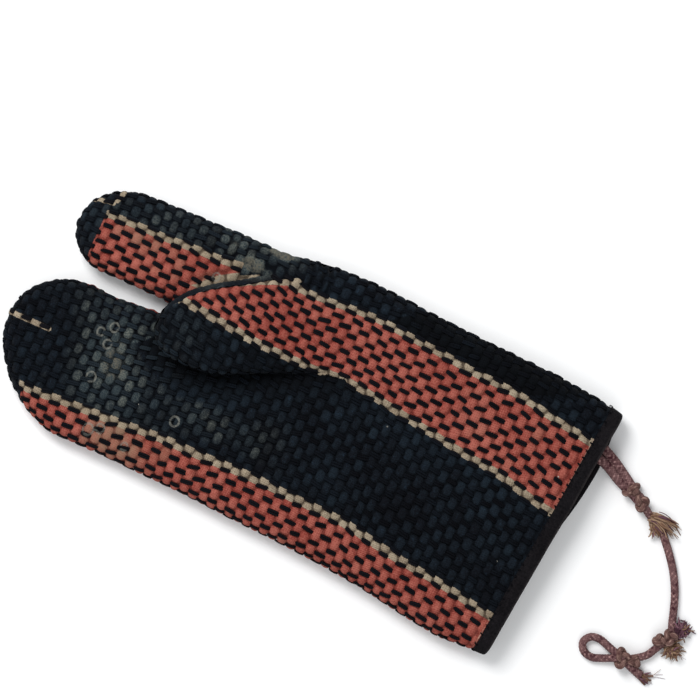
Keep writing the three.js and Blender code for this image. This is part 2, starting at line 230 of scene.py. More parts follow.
def new_piece(name, points, faces, finish, slot, *replaced, **maps):
    """An object from points in millimetres, which rides on the glove and stands for some solids."""
    mesh = bpy.data.meshes.new(name)
    faces = faces.tolist() if isinstance(faces, np.ndarray) else faces
    mesh.from_pydata((np.asarray(points) * MM).tolist(), [], faces)
    mesh.shade_smooth()
    mesh.validate()
    mesh.materials.append(finish)
    piece = pieces[name] = bpy.data.objects.new(name, mesh)
    bpy.context.scene.collection.objects.link(piece)
    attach(piece, "root")
    if replaced:
        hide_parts(*replaced)
    corner = np.zeros(len(mesh.loops), np.int32)
    mesh.loops.foreach_get("vertex_index", corner)
    for key, values in maps.items():
        uv = mesh.uv_layers.new(name=key)
        uv.data.foreach_set("uv", np.asarray(values)[corner].astype(np.float32).ravel())
    print(name, len(mesh.vertices), "points,", sum(len(f.vertices) - 2 for f in mesh.polygons), "triangles")
    return piece


def add_vector(piece, name, *values):
    attribute = piece.data.attributes.new(name, "FLOAT_VECTOR", "POINT")
    values = np.stack(np.broadcast_arrays(*values), 1)
    attribute.data.foreach_set("vector", values.astype(np.float32).ravel())


OTHER_WAY = [0, 3, 2, 1]  # the corners of a face, seen from its other side


def ring_faces(rings, sides):
    """The faces between each ring of points and the next."""
    k = np.arange(rings - 1)[:, None] * sides
    j = np.arange(sides)[None]
    n = (j + 1) % sides
    return np.stack([k + j, k + n, k + sides + n, k + sides + j], -1).reshape(-1, 4)


print("each later line names a piece, its points and its triangles")

# %% [markdown]
# The cord is round braided cotton, 3.9 mm thick, tied to a tape loop inside the cuff. It leaves the cuff
# doubled, runs through four knots and ends in a small doubled loop with a frayed tail. Its whole length
# shows in the picture. Each stretch is a tube whose skin rises and falls with the plaits of the braid:
# rings of points are set square to a smooth route, and each ring keeps the turn of the one before.

# %% Routes of the cord
CORD = 3.9
LYING = CORD / 2 + 0.1
CUFF_LOOP = [
    (47, -137.6, 8.1), (41, -141.4, 8.1), (39.6, -149, 8.2), (42, -156, 9), (43, -164, 9.4),
    (40.8, -171.2, 6.6), (36.4, -179.6, 3.2), (33.1, -187.2, 2.8), (30.9, -191.8, 3.2), (29.4, -195.6, 4.2),
    (31.6, -196.8, 4.6), (33.4, -193.2, 3.2), (36, -188.6, 2.8), (40.4, -181.4, 3.2), (45.2, -173, 6.6),
    (49, -165, 9.4), (52, -157, 9), (54.6, -149, 8.2), (53, -141.4, 8.1), (47.3, -137.6, 8.1),
]
MAIN_CORD = [
    (30.4, -196.2, 3.6), (28.1, -199.6, 2.8), (25.6, -203.4, LYING), (23.6, -207.2, 2.2),
    (21.2, -211.2, 2.3), (18.6, -214.6, 2.2), (14.6, -218.2, LYING), (9.4, -222.6, LYING),
    (3.2, -227.2, LYING), (-3.6, -231.2, LYING), (-10.6, -234.4, LYING), (-17.6, -236.8, LYING),
    (-23.6, -238.6, LYING), (-28.4, -240.2, 2.6), (-32, -240.6, 3.2), (-34.9, -239.1, 2.8),
    (-41.4, -235.8, LYING), (-46.6, -232.6, LYING), (-51.8, -225, 3), (-53, -221, 3.8),
]
END_LOOP = [
    (-53.6, -220, 3.8), (-55.4, -215.6, 3), (-57.6, -211, LYING), (-59.4, -205.4, LYING),
    (-58, -200.2, LYING), (-53.6, -197.8, LYING), (-49.4, -200.4, LYING), (-48.4, -205.4, LYING),
    (-50, -211, LYING), (-51.4, -215.4, 3), (-52.8, -220.2, 5.2), (-54.6, -224.4, 3),
    (-56.6, -230.4, LYING), (-57.8, -234.6, LYING),
]


def lengths(line):
    """How far along a line each of its points is."""
    return np.concatenate([[0], np.cumsum(np.linalg.norm(np.diff(line, axis=0), axis=1))])


def resampled(line, spacing=0.5):
    """The same line, as points that lie that far apart."""
    along = lengths(line)
    stations = np.linspace(0, along[-1], max(4, int(along[-1] / spacing)))
    return np.stack([np.interp(stations, along, column) for column in line.T], 1)


def smooth_route(points, spacing):
    """A curve through all the points."""
    p = np.array(points, float)
    p = np.concatenate([[2 * p[0] - p[1]], p, [2 * p[-1] - p[-2]]])
    t = np.linspace(0, 1, 24, endpoint=False)[:, None]
    arcs = [
        0.5 * (2 * b + (c - a) * t + (2 * a - 5 * b + 4 * c - d) * t**2 + (3 * b - a - 3 * c + d) * t**3)
        for a, b, c, d in zip(p, p[1:], p[2:], p[3:])
    ]
    return resampled(np.concatenate([*arcs, p[-2:-1]]), spacing)


routes = [smooth_route(route, 0.42) for route in (CUFF_LOOP, MAIN_CORD, END_LOOP)]
print("cord:", [round(float(lengths(route)[-1])) for route in routes], "mm")

# %% Tubes
PLAITS, PLAIT = 8, 1.6  # plaits round the cord, and the length of one in millimetres


def tube(route, radius, sides, plaits=0.0):
    """Points, faces and the place on the braid (turns, millimetres) of a tube along a route."""
    ahead = np.gradient(route, axis=0)
    ahead /= np.linalg.norm(ahead, axis=1)[:, None]
    across = np.cross(ahead[0], (0, 0, 1.0) if abs(ahead[0][2]) < 0.9 else (1.0, 0, 0))
    radius = np.broadcast_to(radius, len(route))
    along = lengths(route)
    turns = np.arange(sides) / sides
    cosine, sine = np.cos(turns * math.tau)[:, None], np.sin(turns * math.tau)[:, None]
    rings = []
    for i, (middle, way) in enumerate(zip(route, ahead)):
        across = across - way * (across @ way)
        across /= np.linalg.norm(across)
        left, right = turns * PLAITS + along[i] / PLAIT, turns * PLAITS - along[i] / PLAIT
        weave = np.sqrt(np.abs(np.cos(math.pi * left) * np.cos(math.pi * right)))
        r = (radius[i] + plaits * (weave - 1))[:, None]
        rings.append(middle + r * cosine * across + r * sine * np.cross(way, across))
    points = np.concatenate(rings)
    faces = ring_faces(len(route), sides).tolist()
    faces += [list(range(sides))[::-1], list(range(len(points) - sides, len(points)))]
    return points, faces, np.stack([np.tile(turns, len(route)), np.repeat(along, sides)], 1)


print("a braid of", PLAITS, "plaits each way")

# %% [markdown]
# The braid is mauve brown with paler and darker plaits, which read as speckles. The finish works in the
# braid's own places: turns round the cord, and length along it. Two families of plaits wind in opposite
# ways. Each plait has its own tone, and at every other crossing the other family lies on top. Painted
# shade darkens the furrows between the plaits.


# %% Braided cord finish
def braid_finish(name, dark, pale):
    finish = Finish(name)
    turns, along = finish.uv("braid")
    left, right = turns * PLAITS + along / PLAIT, turns * PLAITS - along / PLAIT
    first, second = (left + 0.5).done("FLOOR"), (right + 0.5).done("FLOOR")
    shade = finish.random(first, second)
    parity = (first + second).done("FLOORED_MODULO", 2.0)
    leftward = finish.random(first.done("FLOORED_MODULO", PLAITS), 3.5)
    rightward = finish.random(second.done("FLOORED_MODULO", PLAITS), 8.5)
    strand = parity * leftward + (1.0 - parity) * rightward
    worn = finish.noise(finish.place(), 160.0, 3.0)
    tone = finish.mix(dark, pale, strand * 0.7 + shade * 0.35 + (worn - 0.5) * 0.5 - 0.03)
    crest = ((left * math.pi).done("COSINE") * (right * math.pi).done("COSINE")).done("ABSOLUTE")
    crest = crest.done("POWER", 0.5)
    # Painted shade: the braid goes dark in the furrows between the plaits
    tone = finish.mix(tone, dark, 0.72 - crest.step(0.05, 0.62) * 0.72)
    fibres = finish.noise(finish.place(), 2600.0, 2.0, 0.7)
    return finish.surface(tone, 0.9, 0.1, Normal=finish.bump(crest * 0.6 + fibres * 0.5, 0.8, 0.00025))


CORD_BRAID = braid_finish("cord_braid", (74, 38, 46), (202, 160, 156))
KNOT_BRAID = braid_finish("knot_braid", (82, 46, 48), (200, 164, 150))
print("braid finish made")

# %% [markdown]
# The frayed ends are bundles of loose cotton fibres. A fibre is a thin tube that leaves the bundle in its
# own direction, bends as it goes and comes to a point. Hundreds are made from one small function, each
# with few sides, and a number kept with each point says how pale or purple that fibre is.


# %% Frayed fibre
def fibre_finish():
    finish = Finish("frayed_fibre")
    hue, tone = finish.uv("braid")
    tan = finish.mix((128, 88, 66), (206, 172, 142), tone)
    purple = finish.mix((84, 46, 68), (160, 116, 132), tone)
    patch = finish.noise(finish.place(), 900.0, 2.0)
    return finish.surface(finish.mix(finish.mix(tan, purple, hue), (90, 66, 60), patch * 0.5), 0.92, 0.1)


FRAYED_FIBRE = fibre_finish()
TAPER = np.array([0.8, 1, 1, 1, 0.95, 0.9, 0.85, 0.5])


def fray(at, count, reach, start, spread, facing, thick, purple, curl=0.9, rise=(-0.1, 0.6), sweep=0.0):
    """Yarn ends from a bundle at a point. Start is how far their roots lie from it, facing an angle in
    degrees, spread how far they fan, purple the share of them, and sweep how much all bend to one side."""
    parts = []
    t = np.linspace(0, 1, len(TAPER))[:, None]
    for _ in range(count):
        lean = chance.uniform(-1, 1)
        angle = math.radians(facing + spread * lean)
        way = np.array([math.cos(angle), math.sin(angle), chance.uniform(*rise)])
        length = reach * chance.uniform(0.6, 1.0) * (1 - 0.25 * abs(lean))
        bend = sweep + chance.normal(-0.35 * lean, 0.2 if sweep else 0.35)
        root = np.array(at) + chance.normal(0, start, 3) * (1, 1, 0.6)
        line = root + way * length * t + np.array([-way[1], way[0], 0]) * bend * length * curl * t**2
        line[:, 2] -= curl * length * t[:, 0] ** 2 * 0.35
        line += 0.12 * np.sin(t * chance.uniform(5, 14) + chance.uniform(0, 6, 3))
        yarn = thick * chance.uniform(0.55, 1.3)
        line[:, 2] = np.maximum(line[:, 2], yarn + 0.05)
        points, faces, _ = tube(line, yarn * TAPER, 5)
        parts.append((points, faces, [float(chance.random() < purple), chance.random()]))
    return parts


def fray_piece(name, node, bundles):
    points, faces, marks, start = [], [], [], 0
    for bundle in bundles:
        for yarn, yarn_faces, mark in fray(*bundle):
            points.append(yarn)
            faces += [[i + start for i in face] for face in yarn_faces]
            marks += [mark] * len(yarn)
            start += len(yarn)
    new_piece(name, np.concatenate(points), faces, FRAYED_FIBRE, "frayed_fibre", node, braid=marks)


print("fibre finish made, with", len(TAPER), "rings a yarn")

# %% [markdown]
# A loose braid is thicker, so each stretch says how much it swells, at shares of its way from 0 to 1. A
# knot is the cord wound over and under itself, scaled to the knot's outer size. Three of the knots are
# thick double ones in the picture, so each of them has a second turn of cord beside it, called a wrap.


# %% Cord stretches
CORD_SIDES, KNOT_SIDES = 32, 20
def cord_piece(name, path, swell, replaced):
    loose = np.interp(np.linspace(0, 1, len(path)), *zip(*swell))
    points, faces, marks = tube(path, CORD / 2 + 0.2 + loose, CORD_SIDES, plaits=0.26)
    points[:, 2] = np.maximum(points[:, 2], 0.05)
    new_piece(name, points, faces, CORD_BRAID, "cord_braid", *replaced, braid=marks)


def knot_piece(name, at, half, turn, *node):
    """An overhand knot at a place, with half its size each way and its turn in degrees."""
    t = np.linspace(0, math.tau, 110, endpoint=False)
    wind = np.stack([np.sin(t) + 2 * np.sin(2 * t), np.cos(t) - 2 * np.cos(2 * t), -1.6 * np.sin(3 * t)], 1)
    thick = CORD / 2 * 0.86
    wind *= (np.array(half) - thick) / (2.7, 2.7, 1.6)
    c, s = math.cos(math.radians(turn)), math.sin(math.radians(turn))
    wind = wind @ np.array([[c, s, 0], [-s, c, 0], [0, 0, 1]]) + np.array(at)
    wind[:, 2] = np.maximum(wind[:, 2], thick + 0.15)
    points, faces, marks = tube(np.concatenate([wind, wind[:2]]), thick, KNOT_SIDES, plaits=0.16)
    points[:, 2] = np.maximum(points[:, 2], 0.05)
    new_piece(name, points, faces, KNOT_BRAID, "cord_braid", *node, braid=marks)


STRETCHES = {  # how much the braid swells, and the solids that it stands for
    "cuff_cord": (
        [(0, 0.4), (0.3, 0.75), (0.39, 0.5), (0.44, -0.1), (0.54, -0.1), (0.6, 0.5), (0.7, 0.7), (1, 0.4)],
        ["cord_cuff_loop"],
    ),
    "main_cord": ([(0, 0.1), (0.2, 0.15), (1, 0.05)], ["cord_short_link", "cord_main", "cord_second_link"]),
    "end_cord": ([(0, 0.1), (0.85, 0.1), (1, 0.5)], ["cord_end_loop", "cord_tail"]),
}
KNOTS = [  # place, half size each way, turn, and the solid that it stands for
    ("cuff_knot", (30.4, -196.2, 4.4), (5.6, 4.3, 4.2), 28, "knot_cuff"),
    ("cuff_wrap", (34.2, -188.6, 3.9), (5.8, 3.5, 4.1), -38),
    ("middle_knot", (-32, -240.6, 4.4), (4.8, 4.4, 4.2), 20, "knot_middle"),
    ("middle_wrap", (-35.6, -236, 4), (4.2, 3.7, 3.6), 110),
    ("end_knot", (-53, -221, 4.5), (6.2, 4.8, 4.3), 15, "knot_end"),
    ("end_wrap", (-51.8, -227.6, 3.8), (4.4, 3.8, 3.5), 80),
]
for path, (name, stretch) in zip(routes, STRETCHES.items()):
    cord_piece(name, path, *stretch)
for knot in KNOTS:
    knot_piece(*knot)

# %% Frayed ends
FRAYS = {  # place, count, reach, start, spread, facing, thickness, share of purple, curl, rise, sweep
    ("frayed_knot", "knot_frayed"): [
        ((24.6, -205.4, 3.4), 60, 14.5, 1.3, 22, -66, 0.46, 0.2, 0.75, (0.05, 0.4), -0.75),
        ((23.4, -206.6, 4.0), 50, 12.5, 1.5, 24, -88, 0.46, 0.14, 0.6, (0.0, 0.4), -0.5),
        ((22.4, -207.4, 3.4), 40, 9.5, 1.4, 30, -118, 0.44, 0.22, 0.5, (0.0, 0.3), -0.3),
        ((21.2, -207.8, 3.2), 20, 5, 1.2, 50, -165, 0.4, 0.3, 0.9),
        ((23.4, -206.6, 3.6), 16, 14.5, 1.6, 40, -88, 0.13, 0.1, 0.6, (-0.1, 0.3), -0.5),
    ],
    ("frayed_tail", "tail_fray"): [
        ((-57.9, -233.8, 2.3), 30, 7.5, 1.0, 24, 258, 0.44, 0.55, 0.6, (-0.2, 0.15)),
        ((-58.2, -235.4, 2.2), 16, 7, 0.9, 40, 266, 0.14, 0.5, 0.8),
        ((-58, -236, 2.2), 3, 13.5, 0.5, 12, -68, 0.17, 0.4, 0.7, (-0.1, 0.1)),
    ],
    ("purple_tuft", "tuft_purple"): [
        ((-26.4, -245, 3.2), 210, 3.1, 1.5, 180, -10, 0.46, 0.92, 2.6, (-0.4, 1.0)),
        ((-26, -245.4, 3.2), 30, 4.6, 1.2, 180, -10, 0.12, 0.8, 1.6),
    ],
    ("tan_tuft", "tuft_tan"): [
        ((-37.6, -244.4, 3.2), 210, 3.2, 1.5, 180, 245, 0.46, 0.05, 2.6, (-0.4, 1.0)),
        ((-37.6, -245.4, 3.2), 40, 6, 1.3, 110, 240, 0.13, 0.05),
    ],
}
CORDS = {  # what the far end is, and the pieces that go with the cord
    "cuff_cord": ("object", ["cuff_knot", "cuff_wrap"]),
    "main_cord": (
        "knot", ["frayed_knot", "middle_knot", "middle_wrap", "end_wrap", "purple_tuft", "tan_tuft"]
    ),
    "end_cord": ("bare", ["end_knot", "frayed_tail"]),
}
for (name, node), bundles in FRAYS.items():
    fray_piece(name, node, bundles)
for path, (name, (far_end, others)) in zip(routes, CORDS.items()):
    float(lengths(path)[-1]) * MM
print("cords with their knots and frayed ends:", ", ".join(CORDS))

# %% [markdown]
# Each padded panel has a round edge: the cloth lies flat in the middle, bends round the glove's side and
# meets the other panel at a seam 8 mm above the floor. One class holds such a form. For a point on the
# flat plan it finds the nearest place on the outline, turns the distance from it into a distance along
# the cloth, and lays that round the edge. The cloth's own pattern follows, so that a puffed brick keeps
# its size where the cloth turns down.

# %% Outline of the hand
HAND = {
    "y": [-190, -178, -150, -122, -102, -72, -42, -15, 8, 23, 38, 58, 83],
    "left": [-78.5, -79.5, -82, -83, -80.5, -75.5, -72.5, -70.5, -69.5, -68.5, -67.5, -67, -66],
    "right": [65.5, 68.5, 74.5, 77, 78, 79, 81, 83, 83, 81, 78.5, 78.5, 78],
}
WIDE_LOBE = {"y": [83, 95, 118], "left": [-66, -66, -66], "right": [20.5, 20, 18], "tip": (-14, 167)}
INDEX_LOBE = {"y": [83, 103, 123], "left": [25.5, 26, 26.5], "right": [78, 77.5, 77], "tip": (49, 153)}
TOP = {"y": [-178, -150, -122, 38, 58, 83, 118, 167], "z": [19.5, 20, 20.5, 20.5, 20, 19.5, 18.8, 18.5]}
CUFF_EDGE = {"x": [-90, -81, 71, 90], "y": [-149, -150, -167, -169.1]}


def softened(line, width=17):
    """A line of close points with its corners rounded over that many of them."""
    weights = np.hanning(width + 2)[1:-1]
    weights /= weights.sum()
    half = width // 2
    padded = np.concatenate([2 * line[0] - line[half:0:-1], line, 2 * line[-1] - line[-2 : -half - 2 : -1]])
    return np.stack([np.convolve(column, weights, mode="valid") for column in padded.T], 1)


def lobe_line(lobe):
    """Up the left side of a finger lobe, round its tip and down the right side."""
    y, left, right = (np.array(lobe[key], float) for key in ("y", "left", "right"))
    middle, half = (left[-1] + right[-1]) / 2, (right[-1] - left[-1]) / 2
    turn = np.radians(np.linspace(0, 90, 40))[1:]
    tip_x, tip_y = lobe["tip"]
    rise = y[-1] + (tip_y - y[-1]) * np.sin(turn)
    centre = middle + (tip_x - middle) * np.sin(turn)
    up = np.stack([centre - half * np.cos(turn), rise], 1)
    down = np.stack([centre + half * np.cos(turn), rise], 1)[::-1]
    return np.concatenate([np.stack([left, y], 1), up, down, np.stack([right, y], 1)[::-1]])


side_y = np.arange(-190, 83, 2.0)
left, right = (np.stack([np.interp(side_y, HAND["y"], HAND[side]), side_y], 1) for side in ("left", "right"))
hand_line = np.concatenate([left, lobe_line(WIDE_LOBE), lobe_line(INDEX_LOBE), right[::-1]])
hand_line = softened(resampled(hand_line))
SEAM_FROM = len(hand_line) * 0.42  # the little-finger side before it is a fold, and the rest is sewn
print("outline points:", len(hand_line))


# %% Padded form
CROWN_REACH = 70  # how far in from the outline the cloth still climbs


class Form:
    """A padded form: its outline, and how its cloth bends round the edge."""

    def __init__(self, line, radius, level, seam, reach, crown):
        self.line = line
        self.radius, self.level, self.seam = radius, level, seam
        self.reach, self.crown = reach, crown
        ahead = np.gradient(line, axis=0)
        ahead /= np.linalg.norm(ahead, axis=1)[:, None]
        self.inward = np.stack([ahead[:, 1], -ahead[:, 0]], 1)
        self.tree = KDTree(len(line))
        for i, (x, y) in enumerate(line):
            self.tree.insert((x, y, 0), i)
        self.tree.balance()

    def near(self, p):
        """For plan points: the nearest place on the outline, the way in from it, how far in, and which."""
        index = np.array([self.tree.find((x, y, 0.0))[1] for x, y in p])
        best, foot, where = np.full(len(p), np.inf), np.zeros_like(p), np.zeros(len(p))
        last = len(self.line) - 2
        for back in (1, 0):
            k = np.clip(index - back, 0, last)
            a, b = self.line[k], self.line[k + 1]
            t = np.clip(((p - a) * (b - a)).sum(1) / ((b - a) ** 2).sum(1), 0, 1)
            at = a + (b - a) * t[:, None]
            far = np.linalg.norm(p - at, axis=1)
            better = far < best
            best = np.where(better, far, best)
            foot[better] = at[better]
            where[better] = (k + t)[better]
        low = np.clip(where.astype(int), 0, last)
        share = (where - low)[:, None]
        inward = self.inward[low] * (1 - share) + self.inward[low + 1] * share
        inward /= np.linalg.norm(inward, axis=1)[:, None]
        side = np.sign(((p - foot) * inward).sum(1))
        side[side == 0] = 1
        way = (p - foot) * side[:, None] / np.maximum(best, 1e-6)[:, None]
        return foot, np.where((best > 0.3)[:, None], way, inward), best * side, where

    def lay(self, p, front=True, inset=0.0):
        """Plan points laid on the form: place, outward normal, place in the pattern, distance in, which."""
        foot, way, inside, where = self.near(p)
        radius = self.radius(p)
        bend = radius - inset
        up = 1 if front else -1
        seam = self.seam(p, where, bend)
        arc = bend * (math.pi / 2 - up * seam)
        t = np.clip(inside / self.reach, 0, 1)
        along = inside + (arc - radius) * (1 - (1 - t) ** 2)
        angle = seam + up * np.minimum(along, arc) / bend
        out = inset + bend * (1 - np.cos(angle)) + np.maximum(along - arc, 0)
        spot = foot + way * out[:, None]
        level = self.level(spot)
        slope = np.stack([self.level(spot + d) - level for d in ((0.5, 0), (0, 0.5))], 1) / 0.5
        normal = np.concatenate([-way * np.cos(angle)[:, None], np.sin(angle)[:, None]], 1)
        normal[:, :2] -= slope * np.abs(normal[:, 2:])
        normal /= np.linalg.norm(normal, axis=1)[:, None]
        height = level + bend * np.sin(angle)
        height = height * (1 - self.crown * (1 - np.clip(inside / CROWN_REACH, 0, 1)) ** 2)
        pattern = foot + way * (along - (arc - radius))[:, None]
        return np.concatenate([spot, height[:, None]], 1), normal, pattern, inside, where


print("a form's cloth climbs for", CROWN_REACH, "mm")

# %% [markdown]
# The thumb grows out of the palm: the same cloth runs on up it, so the palm rises there as far as the
# thumb's base line, and beyond that line the thumb lies over the palm with a deep crease on its left. A
# small table of the thumb's cross sections, the same as in the solids, says how far along the thumb a
# point is, and a second one how high the cloth stands there above the flat palm.

# %% Thumb sections
THUMB_LEFT = np.array(
    [(31, -32), (27, -19), (25, -8), (16, 12), (8, 28), (3, 40), (-1, 51), (-2, 63), (-2, 73), (0.5, 81),
     (5, 86.5), (9.5, 89.3)], float,
)
THUMB_RIGHT = np.array(
    [(75, -2), (71, 18), (66, 34), (62, 44), (55, 54), (48, 65), (41, 74), (34, 81.5), (28, 85), (22.5, 88),
     (18, 89.7), (14.5, 90.4)], float,
)
THUMB_RISE = [0, 0.9, 4.2, 8.6, 12.4, 14.4, 15.2, 15.5, 15.2, 14.6, 14, 13.6]
SECTIONS = np.arange(len(THUMB_LEFT))
rise_steps = np.linspace(0, 11, 221)
rise_fine = np.pad(np.interp(rise_steps, SECTIONS, THUMB_RISE), 8, mode="edge")
rise_fine = np.convolve(rise_fine, np.ones(17) / 17, "valid")
print("thumb sections:", len(SECTIONS), "highest rise", round(float(rise_fine.max()), 1), "mm")

# %% Palm and back forms
SEAM_HEIGHT = 8
WAVES = [(chance.uniform(0.02, 0.06), chance.uniform(0, 7), chance.uniform(0, 7)) for _ in range(7)]


def along_thumb(p):
    """How far along the thumb a plan point is, counted in sections, and how far across it, from 0 to 1."""
    ends = THUMB_RIGHT - THUMB_LEFT
    away = p[:, None, :2] - THUMB_LEFT
    above = (ends[:, 0] * away[..., 1] - ends[:, 1] * away[..., 0]) / np.linalg.norm(ends, axis=1)
    last = np.clip((above >= 0).sum(1) - 1, 0, 10)
    rows = np.arange(len(p))
    a, b = above[rows, last], above[rows, last + 1]
    place = np.clip(last + a / np.where(np.abs(a - b) < 1e-6, 1, a - b), -1, 11)
    t = np.clip(place, 0, 11)
    left = np.stack([np.interp(t, SECTIONS, column) for column in THUMB_LEFT.T], 1)
    right = np.stack([np.interp(t, SECTIONS, column) for column in THUMB_RIGHT.T], 1)
    return place, ((p - left) * (right - left)).sum(1) / ((right - left) ** 2).sum(1)


def eased(value, low, high):
    """0 below low and 1 above high, with a soft change between."""
    t = np.clip((value - low) / (high - low), 0, 1)
    return t * t * (3 - 2 * t)


def wave(p, seed, scale):
    """A smooth, repeatable random number from -1 to 1 for each point."""
    total = np.zeros(len(p))
    for j, (speed, first, second) in enumerate(WAVES):
        turn = j * 1.9 + seed
        way = p[:, 0] * math.cos(turn) + p[:, 1] * math.sin(turn)
        total += np.sin(way * speed * 30 / scale + first * seed + second)
    return total / 4


def hand_top(p):
    return np.interp(p[:, 1], TOP["y"], TOP["z"])


def middle_height(p):
    return hand_top(p) / 2


def thumb_rise(place):
    return np.interp(place, rise_steps, rise_fine)


def palm_level(p):
    """Height of the middle of the palm's edge curve, with the root of the thumb raised."""
    place, across = along_thumb(p)
    plateau = eased(across, -0.02, 0.16) * (1 - eased(across, 0.84, 1.14)) * (1 - eased(place, 2.0, 2.9))
    return middle_height(p) + thumb_rise(place) * plateau + 0.5 * wave(p, 3.0, 60) - 0.4


def seam_height(p, where, bend):
    return np.arcsin(np.clip((SEAM_HEIGHT - middle_height(p)) / bend, -0.9, 0.9))


palm_form = Form(hand_line, middle_height, palm_level, seam_height, reach=20, crown=0.1)
back_form = Form(hand_line, middle_height, middle_height, seam_height, reach=20, crown=0.1)
print("palm and back forms on", len(hand_line), "outline points")

# %% Outline of the thumb
THUMB_OUTLINE = [
    (33, -26), (30, -16), (27, -11), (24.5, -6), (20.5, 3), (16, 12), (12, 20), (8, 28), (3.6, 39),
    (-0.6, 51), (-2, 63), (-1.6, 74), (1, 82), (6, 87.2), (13, 90.2), (20, 89.6), (27, 87.4), (34, 83),
    (40, 77.5), (46, 70.3), (51, 62.5), (56, 54.3), (61, 47), (66, 39.5), (70.5, 31), (74, 22), (76.5, 13),
    (78, 3),
]
THUMB_EDGE = 7.5
thumb_line = softened(resampled(np.array(THUMB_OUTLINE, float)), 21)
tip_at = int(np.argmax(thumb_line[:, 1]))


def thumb_level(p):
    place, _ = along_thumb(p)
    below = 1.6 * (1 - eased(place, 1.45, 2.0))
    return hand_top(p) - 0.4 + thumb_rise(place) - THUMB_EDGE - below + 0.5 * wave(p, 3.0, 60)


def thumb_seam(p, where, bend):
    """The front wraps under the left edge, and stops short of the right one."""
    return np.radians(-12 + 71 * eased(where, tip_at + 2, tip_at + 34))


thumb_form = Form(
    thumb_line, lambda p: np.full(len(p), THUMB_EDGE), thumb_level, thumb_seam, reach=15, crown=0.0
)
print("thumb outline points:", len(thumb_line), "tip at", thumb_line[tip_at].round(1))

# %% [markdown]
# The quilting is rows of running stitches, about 4.9 mm apart, that run along the cloth's stripes. Each
# row is shifted by half a stitch from the next, so the cloth puffs into courses of small pillows, 8 mm by
# 5 mm, with a dark crease between courses. The cloth was dyed before it was sewn, and the rows keep to
# its lines: a beige border is one row wide, fourteen rows lie between the two stripes and eight across
# the red of the right one. So the rows are counted between those border lines, and slow waves bend them
# a little, as hand sewing does.

# %% Border lines of the stripes
LEFT_LINE = {
    "y": [-160, -152, -137, -102, -72, -47, -22, -2, 28, 58, 88, 118, 143],
    "x": [-62.5, -61.5, -59, -54, -50, -45.5, -44.5, -43, -42.8, -43.5, -45, -46.5, -47.5],
}
PALM_FIRST = {
    "y": [-160, -147, -132, -117, -97, -77, -62, -37, -22, -14, -2, 13, 33, 60, 90, 150],
    "x": [4, 6.5, 9.5, 12.5, 15.5, 18.5, 20.5, 24, 26.5, 27, 24.8, 25.5, 25.4, 22, 18.5, 18],
}
THUMB_FIRST = {
    "y": [-22, -14, -2, 13, 33, 53, 68, 82, 93],
    "x": [26.5, 27, 24.8, 25.5, 26, 27.8, 30, 31.5, 34],
}
PALM_LAST = {
    "y": [-160, -150, -132, -117, -97, -77, -52, -32, -22, -7, 8, 28, 36, 50, 58, 73, 88, 103, 135],
    "x": [49.5, 51, 53.3, 56.5, 58.5, 59.5, 62, 64, 64.5, 64, 62.5, 62.5, 65, 64, 61, 59.5, 60, 59, 58],
}
THUMB_LAST = {"y": [-22, -7, 8, 28, 36, 60, 95], "x": [64.5, 64, 62.5, 62.5, 65, 67.5, 72]}
print("border lines from y", LEFT_LINE["y"][0], "to", PALM_FIRST["y"][-1], "mm")

# %% Rows and pillows
ROW, COURSE = 4.9, 5.6
PINCH = 1.7  # how deep the stitches pull the cloth down


def line_at(line, y):
    """A border line's x at each y, rounded over a few millimetres."""
    return sum(np.interp(y + d, line["y"], line["x"]) for d in (-5, -2.5, 0, 2.5, 5)) / 5


def rows_of(p, thumb=False):
    """Rows counted across the cloth. Beige borders are rows 0 to 1, 14 to 15 and 23 to 24."""
    x, y = p[:, 0], p[:, 1]
    left = line_at(LEFT_LINE, y)
    first = line_at(THUMB_FIRST if thumb else PALM_FIRST, y)
    last = line_at(THUMB_LAST if thumb else PALM_LAST, y)
    row = np.where(x < left, 0.5 + (x - left) / 4.95, 0.5 + 14 * (x - left) / (first - left))
    row = np.where(x > first, 14.5 + 9 * (x - first) / (last - first), row)
    return np.where(x > last, 23.5 + (x - last) / 4.7, row)


def cloth_place(pattern, thumb=False):
    """Place in the quilting (across rows, along rows) of a point of the cloth's pattern."""
    x, y = pattern[:, 0], pattern[:, 1]
    tilt = np.where(x > 0, 0.112, 0.05) * x * (1 - eased(y, -110, 10))
    u = ROW * rows_of(pattern, thumb) + 0.35 * wave(pattern, 1.0, 34) + 0.5 * wave(pattern, 4.0, 9)
    v = y + tilt + wave(pattern, 2.0, 40) + 0.75 * wave(pattern, 5.0, 9) + 0.25 * wave(pattern, 8.5, 5)
    return u, v


def thumb_cloth(pattern):
    return cloth_place(pattern, True)


def brick_of(u, v):
    """The course, the nearest row with a stitch there, and the distances from that stitch."""
    course = np.round(v / COURSE)
    odd = np.mod(course, 2)
    row = 2 * np.round((u / ROW - odd) / 2) + odd
    return course, row, u - ROW * row, v - COURSE * course


def mixed(a, b):
    """A random number from 0 to 1 that is always the same for the same two numbers."""
    return np.mod(np.sin(a * 12.9898 + b * 78.233) * 43758.5453, 1.0)


def relief(u, v):
    """How far the quilted cloth lies below its highest level: uneven pillows, pinched by the stitches."""
    course, row, du, dv = brick_of(u, v)
    side = row + np.sign(du)
    first, second, third = mixed(side, course), mixed(side + 40, course), mixed(side, course + 40)
    across = (ROW - np.abs(du)) / (ROW - 0.75 + 0.4 * (third - 0.5))
    up = (dv + 0.6 * (second - 0.5)) / (COURSE / 2 + 0.1 + 0.3 * (first - 0.5))
    swell = np.clip(1 - np.abs(up) ** 2.1 - np.clip(across, 0, 2) ** 2.5, 0, 1) ** 0.64
    return -PINCH + (PINCH - 0.45 * first) * swell


print("rows", ROW, "mm apart, courses", COURSE, "mm apart, pillows up to", PINCH, "mm high")

